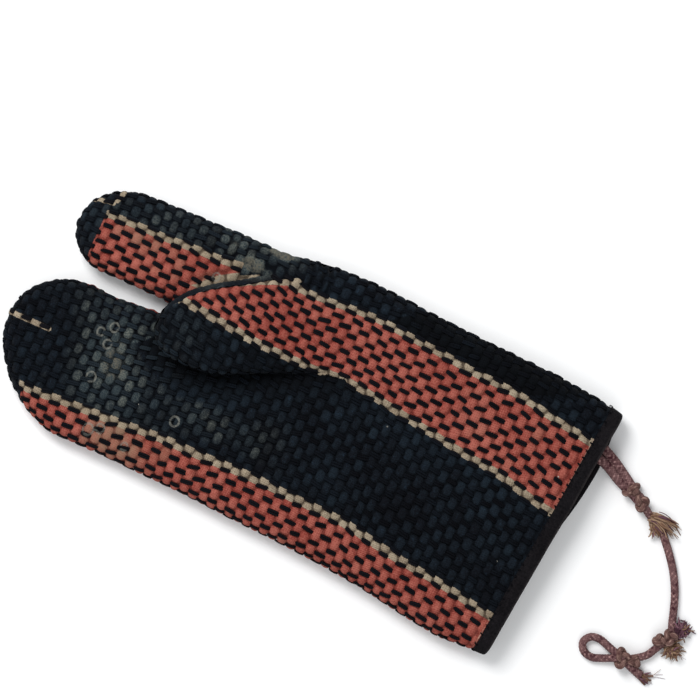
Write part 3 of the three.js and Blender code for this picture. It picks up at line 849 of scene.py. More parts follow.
# %% [markdown]
# Broad faded red stripes with a beige line along each border lie on indigo. Signed distances are worked
# out for each point, in millimetres: how far it is inside red and how far inside beige. The finish cuts
# them at zero, so the borders stay sharp at any size. A third number says how faded the cloth is there.


# %% Stripes
# lines that show at the tips of the lobes: from, to, half width
PALM_TIP_LINES = [
    ((-13, 142), (-13, 180), 1.5), ((64.6, 137), (63.6, 160), 1.4), ((66.5, 135.6), (74, 135), 1.4),
]
BACK_TIP_LINES = [
    ((-13, 141), (-13, 180), 1.3), ((-13, 141), (30, 140), 1.3), ((63, 133), (63, 160), 1.3),
    ((63, 133), (84, 131), 1.3),
]


def segment(p, a, b, half):
    """How far inside a straight band from a to b each point is."""
    a, b = np.array(a, float), np.array(b, float)
    t = np.clip(((p - a) @ (b - a)) / ((b - a) @ (b - a)), 0, 1)
    return half - np.linalg.norm(p - a - t[:, None] * (b - a), axis=1)


def with_lines(p, beige, lines):
    """The beige distance, with some short beige lines added."""
    return np.max([beige, *(segment(p, *line) for line in lines)], axis=0)


def band(u, first, last):
    """How far inside the rows from first to last a place in the quilting is."""
    return np.minimum(u - ROW * first, ROW * last - u)


def palm_dye(p, u, v):
    """Red and beige distances on the palm."""
    x, y = p[:, 0], p[:, 1]
    place, across = along_thumb(p)
    beyond = (place > 2.4) | (y > 84)
    crease = np.where((place > 1.0) & (place < 2.6), across * 30, 9.0)
    end = 138.5 - v
    from_strip = ((x - 48) * 25 + (y - 67) * 15) / 29.2
    worn_seam = np.where(x > 40, 3.4 * eased(x, 40, 52) - from_strip, -9.0)
    last_line = band(u, 23, 23.92)
    red = np.minimum(band(u, 15, 23), np.where(beyond, np.minimum(end, x - 22.8), crease))
    red = np.where(beyond, np.minimum(red, -worn_seam), red)
    beige = np.minimum(np.maximum(band(u, 14.08, 15), last_line), crease)
    beige = np.where(beyond, np.minimum(np.maximum(last_line, worn_seam), end), beige)
    open_end = np.minimum(np.minimum(y - 30.5, 58 - y), x - np.where(y > 47, 55.5 + 0.5 * (58 - y), 50))
    red, beige = np.minimum(red, -open_end), np.minimum(beige, -open_end)
    red = np.maximum(red, np.minimum(-u, 144 - v))
    beige = np.maximum(beige, np.minimum(band(u, 0, 1), 146 - v))
    return red, with_lines(p, beige, PALM_TIP_LINES)


def back_dye(p, from_fold):
    """On the back the left stripe runs on round the fold for 15 mm, and the rest is indigo."""
    fold_end = 146 - p[:, 1]
    beige = np.minimum(2.0 - np.abs(from_fold - 17.5), fold_end)
    return np.minimum(15.5 - from_fold, fold_end), with_lines(p, beige, BACK_TIP_LINES)


FADED = [  # x, y, half width, half length, how much
    (-16, 102, 30, 22, 0.95), (-8, 78, 26, 14, 0.35), (-24, 40, 12, 22, 0.6), (-24, 14, 14, 12, 0.4),
    (4, 118, 16, 14, 0.45), (-55, 84, 13, 17, 1.05), (-50, 60, 12, 12, 0.45), (56, 114, 15, 30, 0.5),
    (78.5, 41, 6.5, 10, 1.4), (64, 53, 5, 9, 1.35), (72, 66, 7, 9, 0.7), (47, 72, 7, 7, 0.6),
    (-14, 148, 40, 22, 0.16), (70, 90, 8, 20, 0.2), (16, 70, 16, 16, 0.25), (40, 120, 12, 12, 0.2),
    (36, -40, 14, 12, 0.2),
]
RINGS = [  # x, y, radius
    (-28, 110, 2.9), (-8, 109, 2.5), (-3, 115, 2.3), (2, 109, 2.6), (-32, 58, 2.8), (-55, 100, 3.3),
    (-52, 94, 2.6), (50, 69, 2.2), (-56, 78, 2.4),
]


def wear_of(p):
    """How faded the cloth is, and how far inside the ring of a dried drop each point is."""
    fade, ring = np.zeros(len(p)), np.full(len(p), -1.0)
    for x, y, wide, long, much in FADED:
        fade = np.maximum(fade, much * np.exp(-(((p[:, 0] - x) / wide) ** 2) - ((p[:, 1] - y) / long) ** 2))
    for x, y, size in RINGS:
        away = np.linalg.norm((p - (x, y)) * (1, 1.15), axis=1)
        ring = np.maximum(ring, 0.7 - np.abs(away - size))
    return np.clip(fade + 0.18 * wave(p, 6.0, 22) * (fade > 0.08), 0, 1), ring


print("faded places:", len(FADED), "and rings of dried drops:", len(RINGS))

# %% [markdown]
# One finish serves all the quilted cloth. Indigo, red and beige meet along woven, slightly ragged
# borders. Every brick has its own tone, and worn brick tops are rubbed paler. Painted shade darkens the
# creases, a painted highlight lightens the tops of the red pillows, and a painted shadow darkens the
# indigo beside the thumb's left edge and on the thumb's back. Where it is most faded the cloth is worn
# down to its bare threads. A fine plain weave and loose fuzz come from bump, because they are far
# smaller than the mesh.


# %% Quilted cloth finish
def quilt_finish():
    finish = Finish("quilted_cloth")
    mix, noise, place = finish.mix, finish.noise, finish.place()
    u, v = finish.uv("cloth")
    # The third dye number, faded, is wear where it is above zero and painted shadow where it is below
    red, beige, faded = finish.attribute("dye")
    depth, ring, selvedge = finish.attribute("shape")
    course = (v / COURSE).done("ROUND")
    half = ((u / ROW - course.done("FLOORED_MODULO", 2.0)) / 2).done("FLOOR")
    brick, other = finish.random(half, course, 0.5), finish.random(half, course, 7.5)
    patch, fine = noise(place, 28.0, 3.0, 0.6), noise(place, 420.0, 4.0, 0.7)
    ragged = (noise(place, 900.0, 2.0) - 0.5) * 0.9
    grain = (noise(place, 900.0, 3.0, 0.8) - 0.5) * 3.4
    fuzz = noise(place, 330.0, 5.0, 0.75).step(0.56, 0.74)
    weave = noise(finish.joined(u * 1.1, v * 1.6), 2.2, 2.0, 0.6) - 0.5
    check, warp = u.sine(1.25) * v.sine(1.25), u.sine(0.62) * v.sine(0.62)
    spots = finish.node("ShaderNodeTexVoronoi", None, {"Vector": place, "Scale": 160.0})
    near_spot = 1.0 - Value(finish, spots.outputs["Distance"]).step(0.06, 0.11)
    lint = finish.parts(spots.outputs["Color"])[0].step(0.985, 0.99) * near_spot
    # crease is how deep a point lies in the dip between pillows; it sets painted shade in the red and beige
    # creases
    crease = 1.0 - depth.step(-1.7, -0.85)

    blue = brick * 0.3 + (patch - 0.5) * 1.4 + weave * 0.8 + grain * 0.4 + check * 0.1 + 0.12
    indigo = mix((17, 19, 25), (40, 53, 64), blue)
    indigo = mix(indigo, (52, 72, 92), fuzz * 0.7 * (patch + 0.1))
    # Painted shade: the deeper the cloth lies between pillows, the darker the indigo
    indigo = mix(indigo, (7, 8, 12), 0.72 - depth.step(-1.6, -0.35) * 0.72)
    # Painted shadow: where faded is below zero, beside the thumb and on the thumb's back, the indigo goes
    # nearly black
    indigo = mix(indigo, (8, 9, 12), faded * -0.85)
    rubbed = (other - 0.2) * 0.6 + grain * 0.6 + weave + check * 0.15
    share = (faded * 1.3 + (brick - 0.5) * 0.4 * faded.step(0.02, 0.3)) * depth.step(-1.3, -0.35)
    share = share + (faded - 0.75) * 1.6 * faded.step(0.7, 0.8)
    indigo = mix(indigo, mix((66, 78, 82), (138, 140, 128), rubbed), share * (grain * 0.5 + 0.75))
    bare = faded.step(0.84, 1.0) * depth.step(-1.7, -0.6) * ((fine - 0.5) * 2.2 + grain * 0.6 + 0.42)
    indigo = mix(indigo, (122, 114, 98), bare)

    redder = brick * 0.35 + grain * 0.7 + (patch - 0.5) * 0.9 + weave * 0.7 + check * 0.46
    # The depth term is a painted highlight: the red is lighter on the tops of the pillows
    redder = redder + (fine - 0.5) * 0.8 + depth.step(-0.9, -0.1) * 0.3 + 0.15
    aged = faded * 1.1 + (patch - 0.58) * 0.9 + (other - 0.8) * 0.7 + grain * 0.3 * faded.step(0.1, 0.5)
    red_cloth = mix(mix((152, 65, 56), (202, 117, 102), redder), (164, 128, 106), aged)
    # Painted shade in the creases of the red
    red_cloth = mix(red_cloth, (98, 38, 34), crease * 0.55)
    paler = other * 0.4 + grain * 0.6 + weave + check * 0.4 + (fine - 0.5) * 0.8 + 0.25
    beige_cloth = mix(mix((146, 128, 108), (204, 188, 162), paler), (162, 144, 120), faded * 0.6)
    # Painted shade in the creases of the beige
    beige_cloth = mix(beige_cloth, (74, 60, 50), crease * 0.8)

    tone = mix(indigo, red_cloth, (red + ragged).step(-0.18, 0.18))
    tone = mix(tone, beige_cloth, (beige + ragged).step(-0.18, 0.18))
    tone = mix(tone, (160, 160, 150), (ring + ragged * 0.5).step(-0.15, 0.4) * (grain * 0.3 + 0.5))
    tone = mix(tone, (214, 210, 198), lint * 0.85)
    pale_edge = (selvedge + ragged * 0.3).step(0.0, 0.25) * (red.done("MAXIMUM", beige)).step(-0.2, 0.2)
    tone = mix(tone, (222, 186, 164), pale_edge * 0.8)
    normal = finish.bump(warp * 0.2 + check * 0.35 + fine * 1.8, 0.85, 0.0004)
    return finish.surface(tone, 0.95, 0.06, Normal=normal, Sheen_Weight=0.02, Sheen_Roughness=0.4)


QUILTED_CLOTH = quilt_finish()
print("cloth finish made")

# %% [markdown]
# A panel starts as a grid of cells on the plan, clipped to the outline: the points that fall outside are
# pulled onto it, so palm and back share every point of their meeting line. The grid's first row follows
# the slant of the cuff. Laid on the form, each point is then pushed in by the quilting's relief.

# %% Plan grids
CELL, FINE_CELL, LINING_CELL = 0.85, 0.69, 2.4
HAND_X, THUMB_X = (-92, 92), (-8, 84)
BINDING = 7.8


def cuff_y(x, bow=False):
    """The cuff's edge. On the back, bow, it peeks out past the palm's on the thumb side."""
    overhang = 4 * eased(x, -20, 34) * (1 - eased(x, 34, 70)) if bow else 0
    return np.interp(x, CUFF_EDGE["x"], CUFF_EDGE["y"]) - overhang


def along_cuff(p, bow=False):
    return p[:, 1] - cuff_y(p[:, 0], bow)


def under_tape(from_cuff):
    """0 under the binding, where the cloth is pressed flat, and 1 clear of it."""
    return eased(from_cuff, BINDING - 0.5, BINDING + 2.5)


def palm_rows(x, cell, bow=False):
    t = np.linspace(0, 1, int(338 / cell))[:, None]
    return (1 - t) * (cuff_y(x, bow) + 0.4) + t * 174.0


def back_rows(x, cell):
    return palm_rows(x, cell, True)


def thumb_rows(x, cell):
    y = np.arange(-30, 94, cell)
    return np.broadcast_to(y[:, None], (len(y), len(x)))


print("cells of", FINE_CELL, "mm on the palm and", CELL, "mm on the back")


# %% Sheets of cloth
SEAM_DIP, TAPE_DIP = 0.9, 1.1  # how far the seam and the tape press the cloth in


class Sheet:
    """A grid of cells inside a form's outline, laid on the form. rows gives each grid point's y."""

    def __init__(self, form, x_range, rows, cell, keep=None, front=True, inset=0.0):
        x = np.arange(*x_range, cell)
        y = rows(x, cell)
        p = np.stack([np.broadcast_to(x, y.shape).ravel(), y.ravel()], 1)
        foot, _, inside, _ = form.near(p)
        inner = inside > 0.35 * cell
        high, wide = y.shape
        i = (np.arange(high - 1)[:, None] * wide + np.arange(wide - 1)[None]).ravel()
        cells = np.stack([i, i + 1, i + wide + 1, i + wide], 1)
        cells = cells[(inner & keep(p) if keep else inner)[cells].any(1)]
        used, faces = np.unique(cells, return_inverse=True)
        self.p = np.where(inner[:, None], p, foot)[used]
        self.faces = faces.reshape(-1, 4)
        self.place, self.normal, self.pattern, self.inside, self.where = form.lay(self.p, front, inset)

    def piece(self, name, deep, finish, slot, *nodes, facing=1, **maps):
        points = self.place + self.normal * deep[:, None]
        return new_piece(name, points, self.faces[:, ::facing], finish, slot, *nodes, **maps)

    def quilt(self, name, deep, dyes, shape, slot, *nodes, fill, facing=1, lumps=0.0):
        """The sheet as quilted cloth, with its dyes and its shape for the finish. Lumps only move it."""
        cloth = np.stack([self.u, self.v], 1)
        piece = self.piece(name, deep - lumps, QUILTED_CLOTH, slot, *nodes, facing=facing, cloth=cloth)
        add_vector(piece, "dye", *dyes)
        add_vector(piece, "shape", *shape)

    def pressed(self, depth, free):
        """The relief, pressed flat under the tape and drawn in along the sewn edge."""
        seam = np.exp(-((self.inside / 1.1) ** 2)) * (self.where > SEAM_FROM)
        return depth * free * (1 - seam) - TAPE_DIP * (1 - free) - SEAM_DIP * seam


print("the seam dips", SEAM_DIP, "mm and the cloth under the tape", TAPE_DIP, "mm")


# %% Gathers, lumps and worn cloth
def folds(spot):
    """Curved gathers on the thumb side, which run together at the foot of the thumb's back."""
    x, y = spot[:, 0], spot[:, 1]
    t = np.clip((x - 63) / 18, 0, 1)
    depth = np.zeros(len(spot))
    for start, end, deep in ((10.5, 13.5, 2.1), (15.5, 17.5, 1.8), (20.5, 24.5, 2.1)):
        middle = start + (end - start) * t - 2.2 * np.sin(math.pi * t)
        depth += deep * np.exp(-(((y - middle) / 1.35) ** 2)) * eased(x, 62, 68)
    return depth


def drawn(spot):
    """Where gathers pull the cloth smooth, from 0 to 1."""
    return np.exp(-(((spot[:, 0] - 74) / 8) ** 2) - ((spot[:, 1] - 18) / 9) ** 2)


def rumple(pattern, red, beige):
    """How far the plain indigo cloth sinks in lumps: it has shrunk more unevenly than the stripes."""
    plain = eased(-np.maximum(red, beige), 0.3, 2.0)
    return plain * 0.3 * (1 + 0.7 * wave(pattern, 7.3, 4.6) + 0.5 * wave(pattern, 9.1, 8)).clip(0, 2)


def palm_rumple(pattern):
    return rumple(pattern, *palm_dye(pattern, *cloth_place(pattern)))


def bare_patch(pattern):
    """Where the cloth beside the thumb is worn smooth and has lost its stitches, from 0 to 1."""
    beside = (pattern[:, 0] > 40) & (pattern[:, 1] > 30) & (pattern[:, 1] < 74)
    return eased(wear_of(pattern)[0], 0.62, 0.95) * beside


print("gathers of the thumb side:", folds(np.array([[72.0, 10.0], [72.0, 15.0]])).round(1), "mm deep")

# %% Palm
palm = Sheet(palm_form, HAND_X, palm_rows, FINE_CELL)
palm.u, palm.v = cloth_place(palm.pattern)
palm_from_cuff = along_cuff(palm.place)
free = under_tape(palm_from_cuff)
smooth = np.maximum(drawn(palm.place), bare_patch(palm.pattern))
depth = relief(palm.u, palm.v) * (1 - 0.65 * smooth) - smooth * (0.45 - 0.3 * wave(palm.pattern, 5.5, 3.4))
palm_deep = palm.pressed(depth, free) - folds(palm.place)
palm_fade, palm_ring = wear_of(palm.pattern)
_, _, under_thumb, thumb_where = thumb_form.near(palm.p)
# Painted shadow under the thumb's left edge: the palm's indigo there is darkened, about 11 mm wide, by a
# faded value below zero
painted_thumb_shadow = np.exp(-((np.maximum(-under_thumb, 0) / 11) ** 2)) * (thumb_where < tip_at - 20)
palm.quilt(
    "palm_quilt",
    palm_deep,
    (*palm_dye(palm.pattern, palm.u, palm.v), palm_fade * (1 - painted_thumb_shadow) - painted_thumb_shadow),
    (palm_deep, palm_ring, 0.35 - np.abs(palm_from_cuff - BINDING - 0.35)),
    "striped_cloth",
    "palm_panel",
    fill=0.4,
    lumps=palm_rumple(palm.pattern) * free,
)

# %% Back
LEFT_X = {"y": HAND["y"] + [95, 118, 125], "x": HAND["left"] + [-66, -66, -65.6]}


def round_fold(p, pattern):
    """The back's place in the palm's pattern, counted round the fold, and the fold's x."""
    fold_x = np.interp(pattern[:, 1], LEFT_X["y"], LEFT_X["x"])
    gain = middle_height(p) * (math.pi - 2)
    return np.stack([2 * fold_x - gain - pattern[:, 0], pattern[:, 1]], 1), fold_x


back = Sheet(back_form, HAND_X, back_rows, CELL, front=False)
palm_pattern, fold_x = round_fold(back.p, back.pattern)
back.u, back.v = cloth_place(palm_pattern)
radius = middle_height(back.p)
gain_back = radius * (math.pi / 2 + seam_height(back.p, back.where, radius)) - radius
back_dyes = back_dye(back.pattern, back.pattern[:, 0] - fold_x + gain_back)
back_from_cuff = along_cuff(back.place, True)
free = under_tape(back_from_cuff)
back_deep = back.pressed(relief(back.u, back.v), free)
back.quilt(
    "back_quilt",
    back_deep,
    (*back_dyes, 0.12 + 0.1 * wave(back.pattern, 7.0, 40)),
    (back_deep, -1.0, -1.0),
    "indigo_cloth",
    "back_panel",
    fill=0.4,
    facing=-1,
    lumps=rumple(back.pattern, *back_dyes) * free,
)


# %% Thumb front
def puckers(pattern):
    """The thumb's dark side is drawn together by its seam into uneven ripples."""
    much = eased(pattern[:, 1], -6, 14) * (1 - eased(pattern[:, 0], 16, 27))
    return much * (0.55 + 0.6 * wave(pattern, 3.3, 11) + 0.35 * wave(pattern, 6.1, 6)).clip(0, 1.6)


def past_section(section):
    return lambda p: along_thumb(p)[0] > section


def thumb_dye(pattern, u, inside, on_right):
    """As on the palm, but the beige widens to a wedge along the thumb's right edge, low down."""
    y = pattern[:, 1]
    width = 7.0 * np.clip((58 - y) / 25, 0, 1) * eased(y, 20, 28)
    clear = np.where(on_right, inside - width, 9)
    wedge = np.where(on_right, width - inside, -9)
    red = np.minimum(band(u, 15, 23), clear)
    red = np.where(y > 36, np.maximum(red, np.minimum(u - ROW * 15, clear)), red)
    beige = np.maximum(np.maximum(band(u, 14, 15), band(u, 23, 24)), wedge)
    return red, np.where((y > 36) & (u > ROW * 16), wedge, beige)


thumb = Sheet(thumb_form, THUMB_X, thumb_rows, FINE_CELL, past_section(1.5))
thumb.u, thumb.v = thumb_cloth(thumb.pattern)
thumb_deep = relief(thumb.u, thumb.v) - puckers(thumb.pattern)
thumb_fade, thumb_ring = wear_of(thumb.place[:, :2])
thumb_dyes = thumb_dye(thumb.pattern, thumb.u, thumb.inside, thumb.where > tip_at + 30)
thumb.quilt(
    "thumb_quilt",
    thumb_deep,
    (*thumb_dyes, thumb_fade * 0.5),
    (thumb_deep, thumb_ring, -1.0),
    "striped_cloth",
    fill=0.5,
)

# %% Thumb back
strip = Sheet(thumb_form, THUMB_X, thumb_rows, 0.9, past_section(2.4), front=False)
strip.u, strip.v = cloth_place(strip.pattern)
section, _ = along_thumb(strip.place[:, :2])
hand_below = hand_top(strip.place) * 0.96 - 0.2 + thumb_rise(section) * (1 - eased(section, 1.6, 2.3))
strip.place[:, 2] = np.maximum(strip.place[:, 2], hand_below + 0.5) - 4.5 * (1 - eased(section, 2.5, 3.5))
ripple = 0.45 * np.cos(strip.v * 2.1 + 2.5 * wave(strip.pattern, 3.0, 12)) * np.exp(-strip.inside / 5)
strip_deep = -1.0 + ripple + 0.4 * wave(strip.pattern, 5.0, 5)
# Partly wear and partly painted shade: the wear is lowered by 0.2, and where it falls below zero the finish
# darkens the upturned strip
strip_wear_and_shade = wear_of(strip.place[:, :2])[0] * 0.8 + 0.25 * wave(strip.pattern, 7.0, 12) - 0.2
strip.quilt(
    "thumb_back_cloth",
    strip_deep,
    (-5.0, -5.0, strip_wear_and_shade),
    (strip_deep + 0.6, -5.0, -5.0),
    "indigo_cloth",
    "thumb_back",
    fill=0.5,
    facing=-1,
)

# %% [markdown]
# Each running stitch shows as a short, thick dash of doubled thread, dark even on the red stripes. It
# lies in the dip between two bricks and dives into the cloth at both ends. One function finds where the
# rows cross the courses on a panel, walks out from there along the cloth, and lays two strands along it.
# On plain indigo the thread was dyed with its cloth and has faded with it, so it is dark blue there.


# %% Stitch thread finish
def thread_finish():
    finish = Finish("stitch_thread")
    ring, dyed, faded = finish.attribute("drops")
    turn, along = finish.uv("thread")
    fuzz, patch = finish.noise(finish.place(), 2200.0, 3.0, 0.7), finish.noise(finish.place(), 45.0, 2.0)
    black = finish.mix((13, 12, 16), (34, 35, 42), (fuzz - 0.5) * 0.9 + (patch - 0.5) * 0.8 + 0.3)
    bluer = (fuzz - 0.5) * 0.8 + (patch - 0.5) * 0.9 + 0.08 + faded * 0.6
    blue = finish.mix((12, 13, 18), (38, 50, 62), bluer)
    blue = finish.mix(blue, (74, 84, 86), faded * (fuzz - 0.1) * 0.6)
    tone = finish.mix(blue, black, dyed.step(-1.2, 0.2))
    tone = finish.mix(tone, (150, 150, 142), ring.step(-0.2, 0.4) * 0.4)
    ply = (turn + along * 0.55).sine(0.5)
    return finish.surface(tone, 0.95, 0.06, Normal=finish.bump(ply * 0.5 + fuzz, 0.8, 0.0003))


STITCH_THREAD = thread_finish()
print("thread finish made")


# %% Places of the stitches
def stitch_seats(lay, cloth, sheet, allowed):
    """Plan points of the stitches, and the plan steps that go 1 mm across and 1 mm along the rows."""
    p = sheet.p
    course, row, du, dv = brick_of(sheet.u, sheet.v)
    index_lobe = (p[:, 1] > 83) & (p[:, 0] > 23)
    keys = np.where(allowed, (course * 500 + row) * 2 + index_lobe, np.inf)
    order = np.lexsort((du**2 + dv**2, keys))
    best = order[np.unique(keys[order], return_index=True)[1]]
    best = best[allowed[best] & (du[best] ** 2 + dv[best] ** 2 < 1.3)]
    q = p[best].copy()
    want = np.stack([ROW * row[best], COURSE * course[best]], 1)
    for _ in range(4):
        here, right, above = (np.stack(cloth(lay(q + step)[2]), 1) for step in ((0, 0), (0.4, 0), (0, 0.4)))
        by_x, by_y = (right - here) / 0.4, (above - here) / 0.4
        size = by_x[:, 0] * by_y[:, 1] - by_y[:, 0] * by_x[:, 1]
        across = np.stack([by_y[:, 1], -by_x[:, 1]], 1) / size[:, None]
        along = np.stack([-by_y[:, 0], by_x[:, 0]], 1) / size[:, None]
        left = want - here
        q = q + np.clip(across * left[:, :1] + along * left[:, 1:], -1, 1)
    return q, across, along


def sewn(sheet, from_cuff):
    """Clear of the sewn edge and of the tape."""
    return (sheet.inside > np.where(sheet.where > SEAM_FROM, 2.2, 0.4)) & (from_cuff > BINDING + 2.2)


palm_sewn = sewn(palm, palm_from_cuff) & ~((along_thumb(palm.p)[0] > 1.85) & (under_thumb > 0.6))
palm_sewn &= (bare_patch(palm.pattern) < 0.5) & (segment(palm.pattern, (50, 68.5), (66, 42), 3.2) <= 0)
thumb_sewn = thumb.inside > np.where(thumb.where > tip_at - 20, 1.6, 0.3)
thumb_sewn &= along_thumb(thumb.p)[0] > 1.85
print("points that may hold a stitch:", palm_sewn.sum(), "on the palm,", thumb_sewn.sum(), "on the thumb")

# %% Stitches
# along a stitch: place from -1 to 1, depth below the cloth, thickness; then sides of the thread
CLOSE_STITCH = (
    [-1, -0.78, -0.3, 0.3, 0.78, 1],
    [1.5, 0.85, 0.66, 0.66, 0.85, 1.5],
    [0.42, 0.98, 1.06, 1.06, 0.98, 0.42],
    5,
)
THREAD = (0.72, 0.58)  # half the width and half the height of a strand
LOWEST = 0.02  # above the floor
PLAIN_STITCH = ([-1, -0.5, 0.5, 1], [1.7, 0.75, 0.75, 1.7], [0.5, 1, 1, 0.5], 4)


def sew(name, slot, lay, seats, sink, dyed, stitch=CLOSE_STITCH, reach=3.5, scale=1.0):
    """Two strands of thread for each stitch, laid on the cloth."""
    q = seats[0]
    t, dive, size, sides = (np.array(values) for values in stitch)
    sides, stations, strands = int(sides), len(t), len(q) * 2
    length = reach * chance.uniform(0.8, 1.12, len(q))[:, None, None]
    by_thumb = 0.14 * eased(q[:, 1], -70, 30) - 0.07 * eased(q[:, 1], 70, 110) - 0.07
    slant = np.where(q[:, 0] > 0, by_thumb, -0.03)
    tilt = (slant + chance.normal(0, 0.1, len(q)))[:, None, None]
    shift_across, shift_along = chance.normal(0, 0.22, (len(q), 2)).T[..., None, None]
    slip = chance.normal(0, 0.1, (len(q), 2))[:, :, None]
    go = length * t + slip * 2 + shift_along
    aside = np.array([[-0.6], [0.6]]) * scale * (1 - 0.5 * t**4) + tilt * go + shift_across + slip
    q, across, along = (values[:, None, None] for values in seats)
    plan = q + along * go[..., None] + across * aside[..., None]
    place, normal, pattern, _, _ = lay(plan.reshape(-1, 2))
    deep = np.tile(dive, strands) + sink(place, pattern)
    place = (place - normal * deep[:, None]).reshape(strands, stations, 3)
    ahead = np.gradient(place, axis=1)
    ahead /= np.linalg.norm(ahead, axis=2)[..., None]
    side = np.cross(ahead, normal.reshape(strands, stations, 3))
    side /= np.linalg.norm(side, axis=2)[..., None]
    up = np.cross(side, ahead)
    thick = (chance.uniform(0.92, 1.08, strands)[:, None] * size * scale)[..., None]
    turns = np.arange(sides) / sides
    wide, high = np.cos(turns * math.tau) * THREAD[0] * thick, np.sin(turns * math.tau) * THREAD[1] * thick
    points = place[:, :, None] + side[:, :, None] * wide[..., None] + up[:, :, None] * high[..., None]
    points = points.reshape(-1, 3)
    points[:, 2] = np.maximum(points[:, 2], LOWEST)
    starts = np.arange(strands) * (stations * sides)
    faces = (ring_faces(stations, sides)[:, OTHER_WAY] + starts[:, None, None]).reshape(-1, 4).tolist()
    for start in starts.tolist():
        last = start + (stations - 1) * sides
        faces += [list(range(start, start + sides)), list(range(last, last + sides))[::-1]]
    lead = np.repeat(chance.uniform(0, 9, strands), stations * sides)
    thread = [np.tile(turns, strands * stations), np.repeat(np.tile(t * reach, strands), sides) + lead]
    piece = new_piece(name, points, faces, STITCH_THREAD, slot, thread=np.stack(thread, 1))
    faded, drops = wear_of(points[:, :2]) if stitch is CLOSE_STITCH else (0.0, -1.0)
    add_vector(piece, "drops", drops, np.repeat(dyed(pattern), sides), faded)


sew(
    "palm_stitches",
    "striped_cloth",
    palm_form.lay,
    stitch_seats(palm_form.lay, cloth_place, palm, palm_sewn),
    lambda place, pattern: folds(place) + palm_rumple(pattern) * 0.9,
    lambda pattern: np.maximum(*palm_dye(pattern, *cloth_place(pattern))),
)
sew(
    "thumb_stitches",
    "striped_cloth",
    thumb_form.lay,
    stitch_seats(thumb_form.lay, thumb_cloth, thumb, thumb_sewn),
    lambda place, pattern: puckers(pattern) * 0.95,
    lambda pattern: band(thumb_cloth(pattern)[0], 14, 24),
)


# %% Stitches of the back
def back_lay(q):
    """As the back's own surface, with the pattern counted round the fold from the palm's."""
    place, normal, pattern, inside, where = back_form.lay(q, front=False)
    return place, normal, round_fold(q, pattern)[0], inside, where


def all_dyed(pattern):
    return np.ones(len(pattern))


seats = stitch_seats(back_lay, cloth_place, back, sewn(back, back_from_cuff))
sew("back_stitches", "indigo_cloth", back_lay, seats, lambda place, pattern: 0.25, all_dyed, PLAIN_STITCH)

# %% [markdown]
# The cut edges at the cuff are bound with a flat, brown-black woven tape, folded over them and 8 mm wide
# on both faces. It is made as a strip that goes round the cuff, following the cloth: its section is a
# narrow U. The tape's ends overlap on the palm side, where it is a little thicker. Small stitches, 4.4 mm
# apart, hold its upper edge on both faces.


# %% Tape finish
def tape_finish():
    finish = Finish("binding_tape")
    along, over = finish.uv("tape")
    place = finish.place()
    fine, patch = finish.noise(place, 700.0, 4.0, 0.7), finish.noise(place, 60.0, 3.0, 0.6)
    creased = finish.noise(finish.joined(along * 0.9, over * 0.12), 1.0, 3.0, 0.6)
    tone = finish.mix((17, 16, 19), (50, 46, 49), (patch - 0.4) * 0.9 + (fine - 0.5) * 1.4 + 0.2)
    from_edge = (over - 9.5).done("ABSOLUTE")
    tone = finish.mix(tone, (92, 86, 86), (1.0 - from_edge.step(0.6, 2.4)) * (patch + fine - 0.62))
    bumps = along.sine(0.55) * over.sine(0.5) * 0.3 + fine * 1.4 + creased * 6
    return finish.surface(tone, 0.92, 0.06, Normal=finish.bump(bumps, 0.85, 0.0005))


BINDING_TAPE = tape_finish()
print("tape finish made")

# %% Binding round the cuff
SECTION = [  # from the cuff's edge, and depth below the cloth's outer face
    (7.9, 1.25), (7.85, 0.55), (7.5, 0.3), (6.9, 0.42), (6.3, 0.3), (4.2, 0.22), (2.2, 0.2), (1.0, 0.25),
    (0.3, 0.6), (-0.15, 1.35), (-0.3, 2.4), (-0.15, 3.5), (0.4, 4.5), (1.3, 4.95), (2.6, 5.05), (5.2, 5.05),
    (7.2, 4.95), (7.8, 4.6), (7.9, 4.0),
]
STEPS, STEP = 190, 0.82  # points across one face, and the millimetres between them
AROUND = 2 * STEPS - 2


def cuff_crossing(column, x, from_cuff, bow):
    """Where the line that far from the cuff's edge meets a side of the outline, found from near it."""
    for _ in range(5):
        x = float(np.interp(cuff_y(x, bow) + from_cuff, column[:, 1], column[:, 0]))
    return x


def tape_half(from_cuff, depth, bow):
    """One line of the tape across the palm, or back across the back."""
    low = cuff_crossing(hand_line[: len(hand_line) // 3], -80.0, from_cuff, bow)
    high = cuff_crossing(hand_line[-len(hand_line) // 4 :][::-1], 68.0, from_cuff, bow)
    x = (low + (high - low) * np.linspace(0, 1, STEPS))[:: -1 if bow else 1]
    q = np.stack([x, cuff_y(x, bow) + from_cuff], 1)
    lap = 0.0 if bow or depth >= 2.4 else 0.55 * eased(x, -6, 8) * (1 - eased(x, 18.4, 19.2))
    ripple = (0.2 * wave(q, 8.0, 7) + 0.12 * wave(q, 3.0, 3)) * (1 if 0.5 < from_cuff < 7.6 else 0.4)
    place, normal, *_ = (back_form if bow else palm_form).lay(q, front=not bow, inset=depth)
    place = place + normal * (lap + ripple)[:, None]
    place[:, 1] += 0.25 * wave(q, 9.0, 9)
    place[:, 2] = np.maximum(place[:, 2], LOWEST)
    return place[:-1]


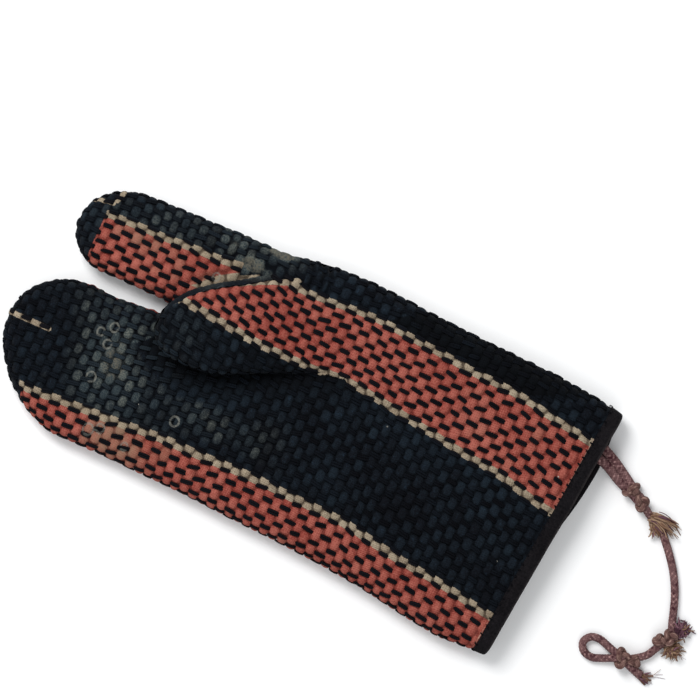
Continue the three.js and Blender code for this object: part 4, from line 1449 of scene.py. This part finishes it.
tape_points = np.concatenate([tape_half(*line, bow) for line in SECTION for bow in (False, True)])
over = np.concatenate([[0], np.cumsum([math.dist(a, b) for a, b in zip(SECTION, SECTION[1:])])])
tape_marks = np.stack([np.tile(np.arange(AROUND) * STEP, len(SECTION)), np.repeat(over, AROUND)], 1)
faces = ring_faces(len(SECTION), AROUND)[:, OTHER_WAY]
tape = new_piece(
    "cuff_tape", tape_points, faces, BINDING_TAPE, "binding_tape", "cuff_binding", tape=tape_marks
)

# %% Stitches of the binding
HEM_PITCH, HEM_COUNT = 4.4, 35
hem_x = np.arange(HEM_COUNT) * HEM_PITCH - 79 + chance.normal(0, 0.35, HEM_COUNT)
hem_ways = np.tile([1.0, 0.0], (HEM_COUNT, 1)), np.tile([0.3, 1.0], (HEM_COUNT, 1))
for name, lay, bow in (("tape_stitches", palm_form.lay, False), ("tape_back_stitches", back_lay, True)):
    seats = (np.stack([hem_x, cuff_y(hem_x, bow) + BINDING - 0.1], 1), *hem_ways)
    sew(name, "binding_tape", lay, seats, lambda place, pattern: -0.75, all_dyed, PLAIN_STITCH, 1.2, 0.4)

# %% [markdown]
# Inside, each panel has a plain dark cotton lining, 4.5 mm behind the outer cloth, so that the open cuff
# shows cloth and no hollow skin. The tape loop that holds the cord is hidden there and has the same look.

# %% Lining
INSIDE = 4.5


def lining_finish():
    finish = Finish("cotton_lining")
    fine, patch = finish.noise(finish.place(), 900.0, 3.0, 0.7), finish.noise(finish.place(), 50.0, 3.0)
    tone = finish.mix((14, 15, 19), (36, 38, 44), patch + (fine - 0.5))
    return finish.surface(tone, 0.95, Normal=finish.bump(fine + patch * 4, 0.6, 0.0004))


LINING = lining_finish()
loop_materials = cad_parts["hanging_loop"].data.materials
loop_materials.clear()
loop_materials.append(LINING)
for name, form, rows, front, slot in (
    ("palm_lining", palm_form, palm_rows, True, "striped_cloth"),
    ("back_lining", back_form, back_rows, False, "indigo_cloth"),
):
    lining = Sheet(form, HAND_X, rows, LINING_CELL, lambda p: form.near(p)[2] > 0.8, front, INSIDE)
    _, v = cloth_place(lining.pattern)
    lining.piece(name, 0.21 * np.cos(v * math.tau / COURSE), LINING, slot, facing=-1 if front else 1)
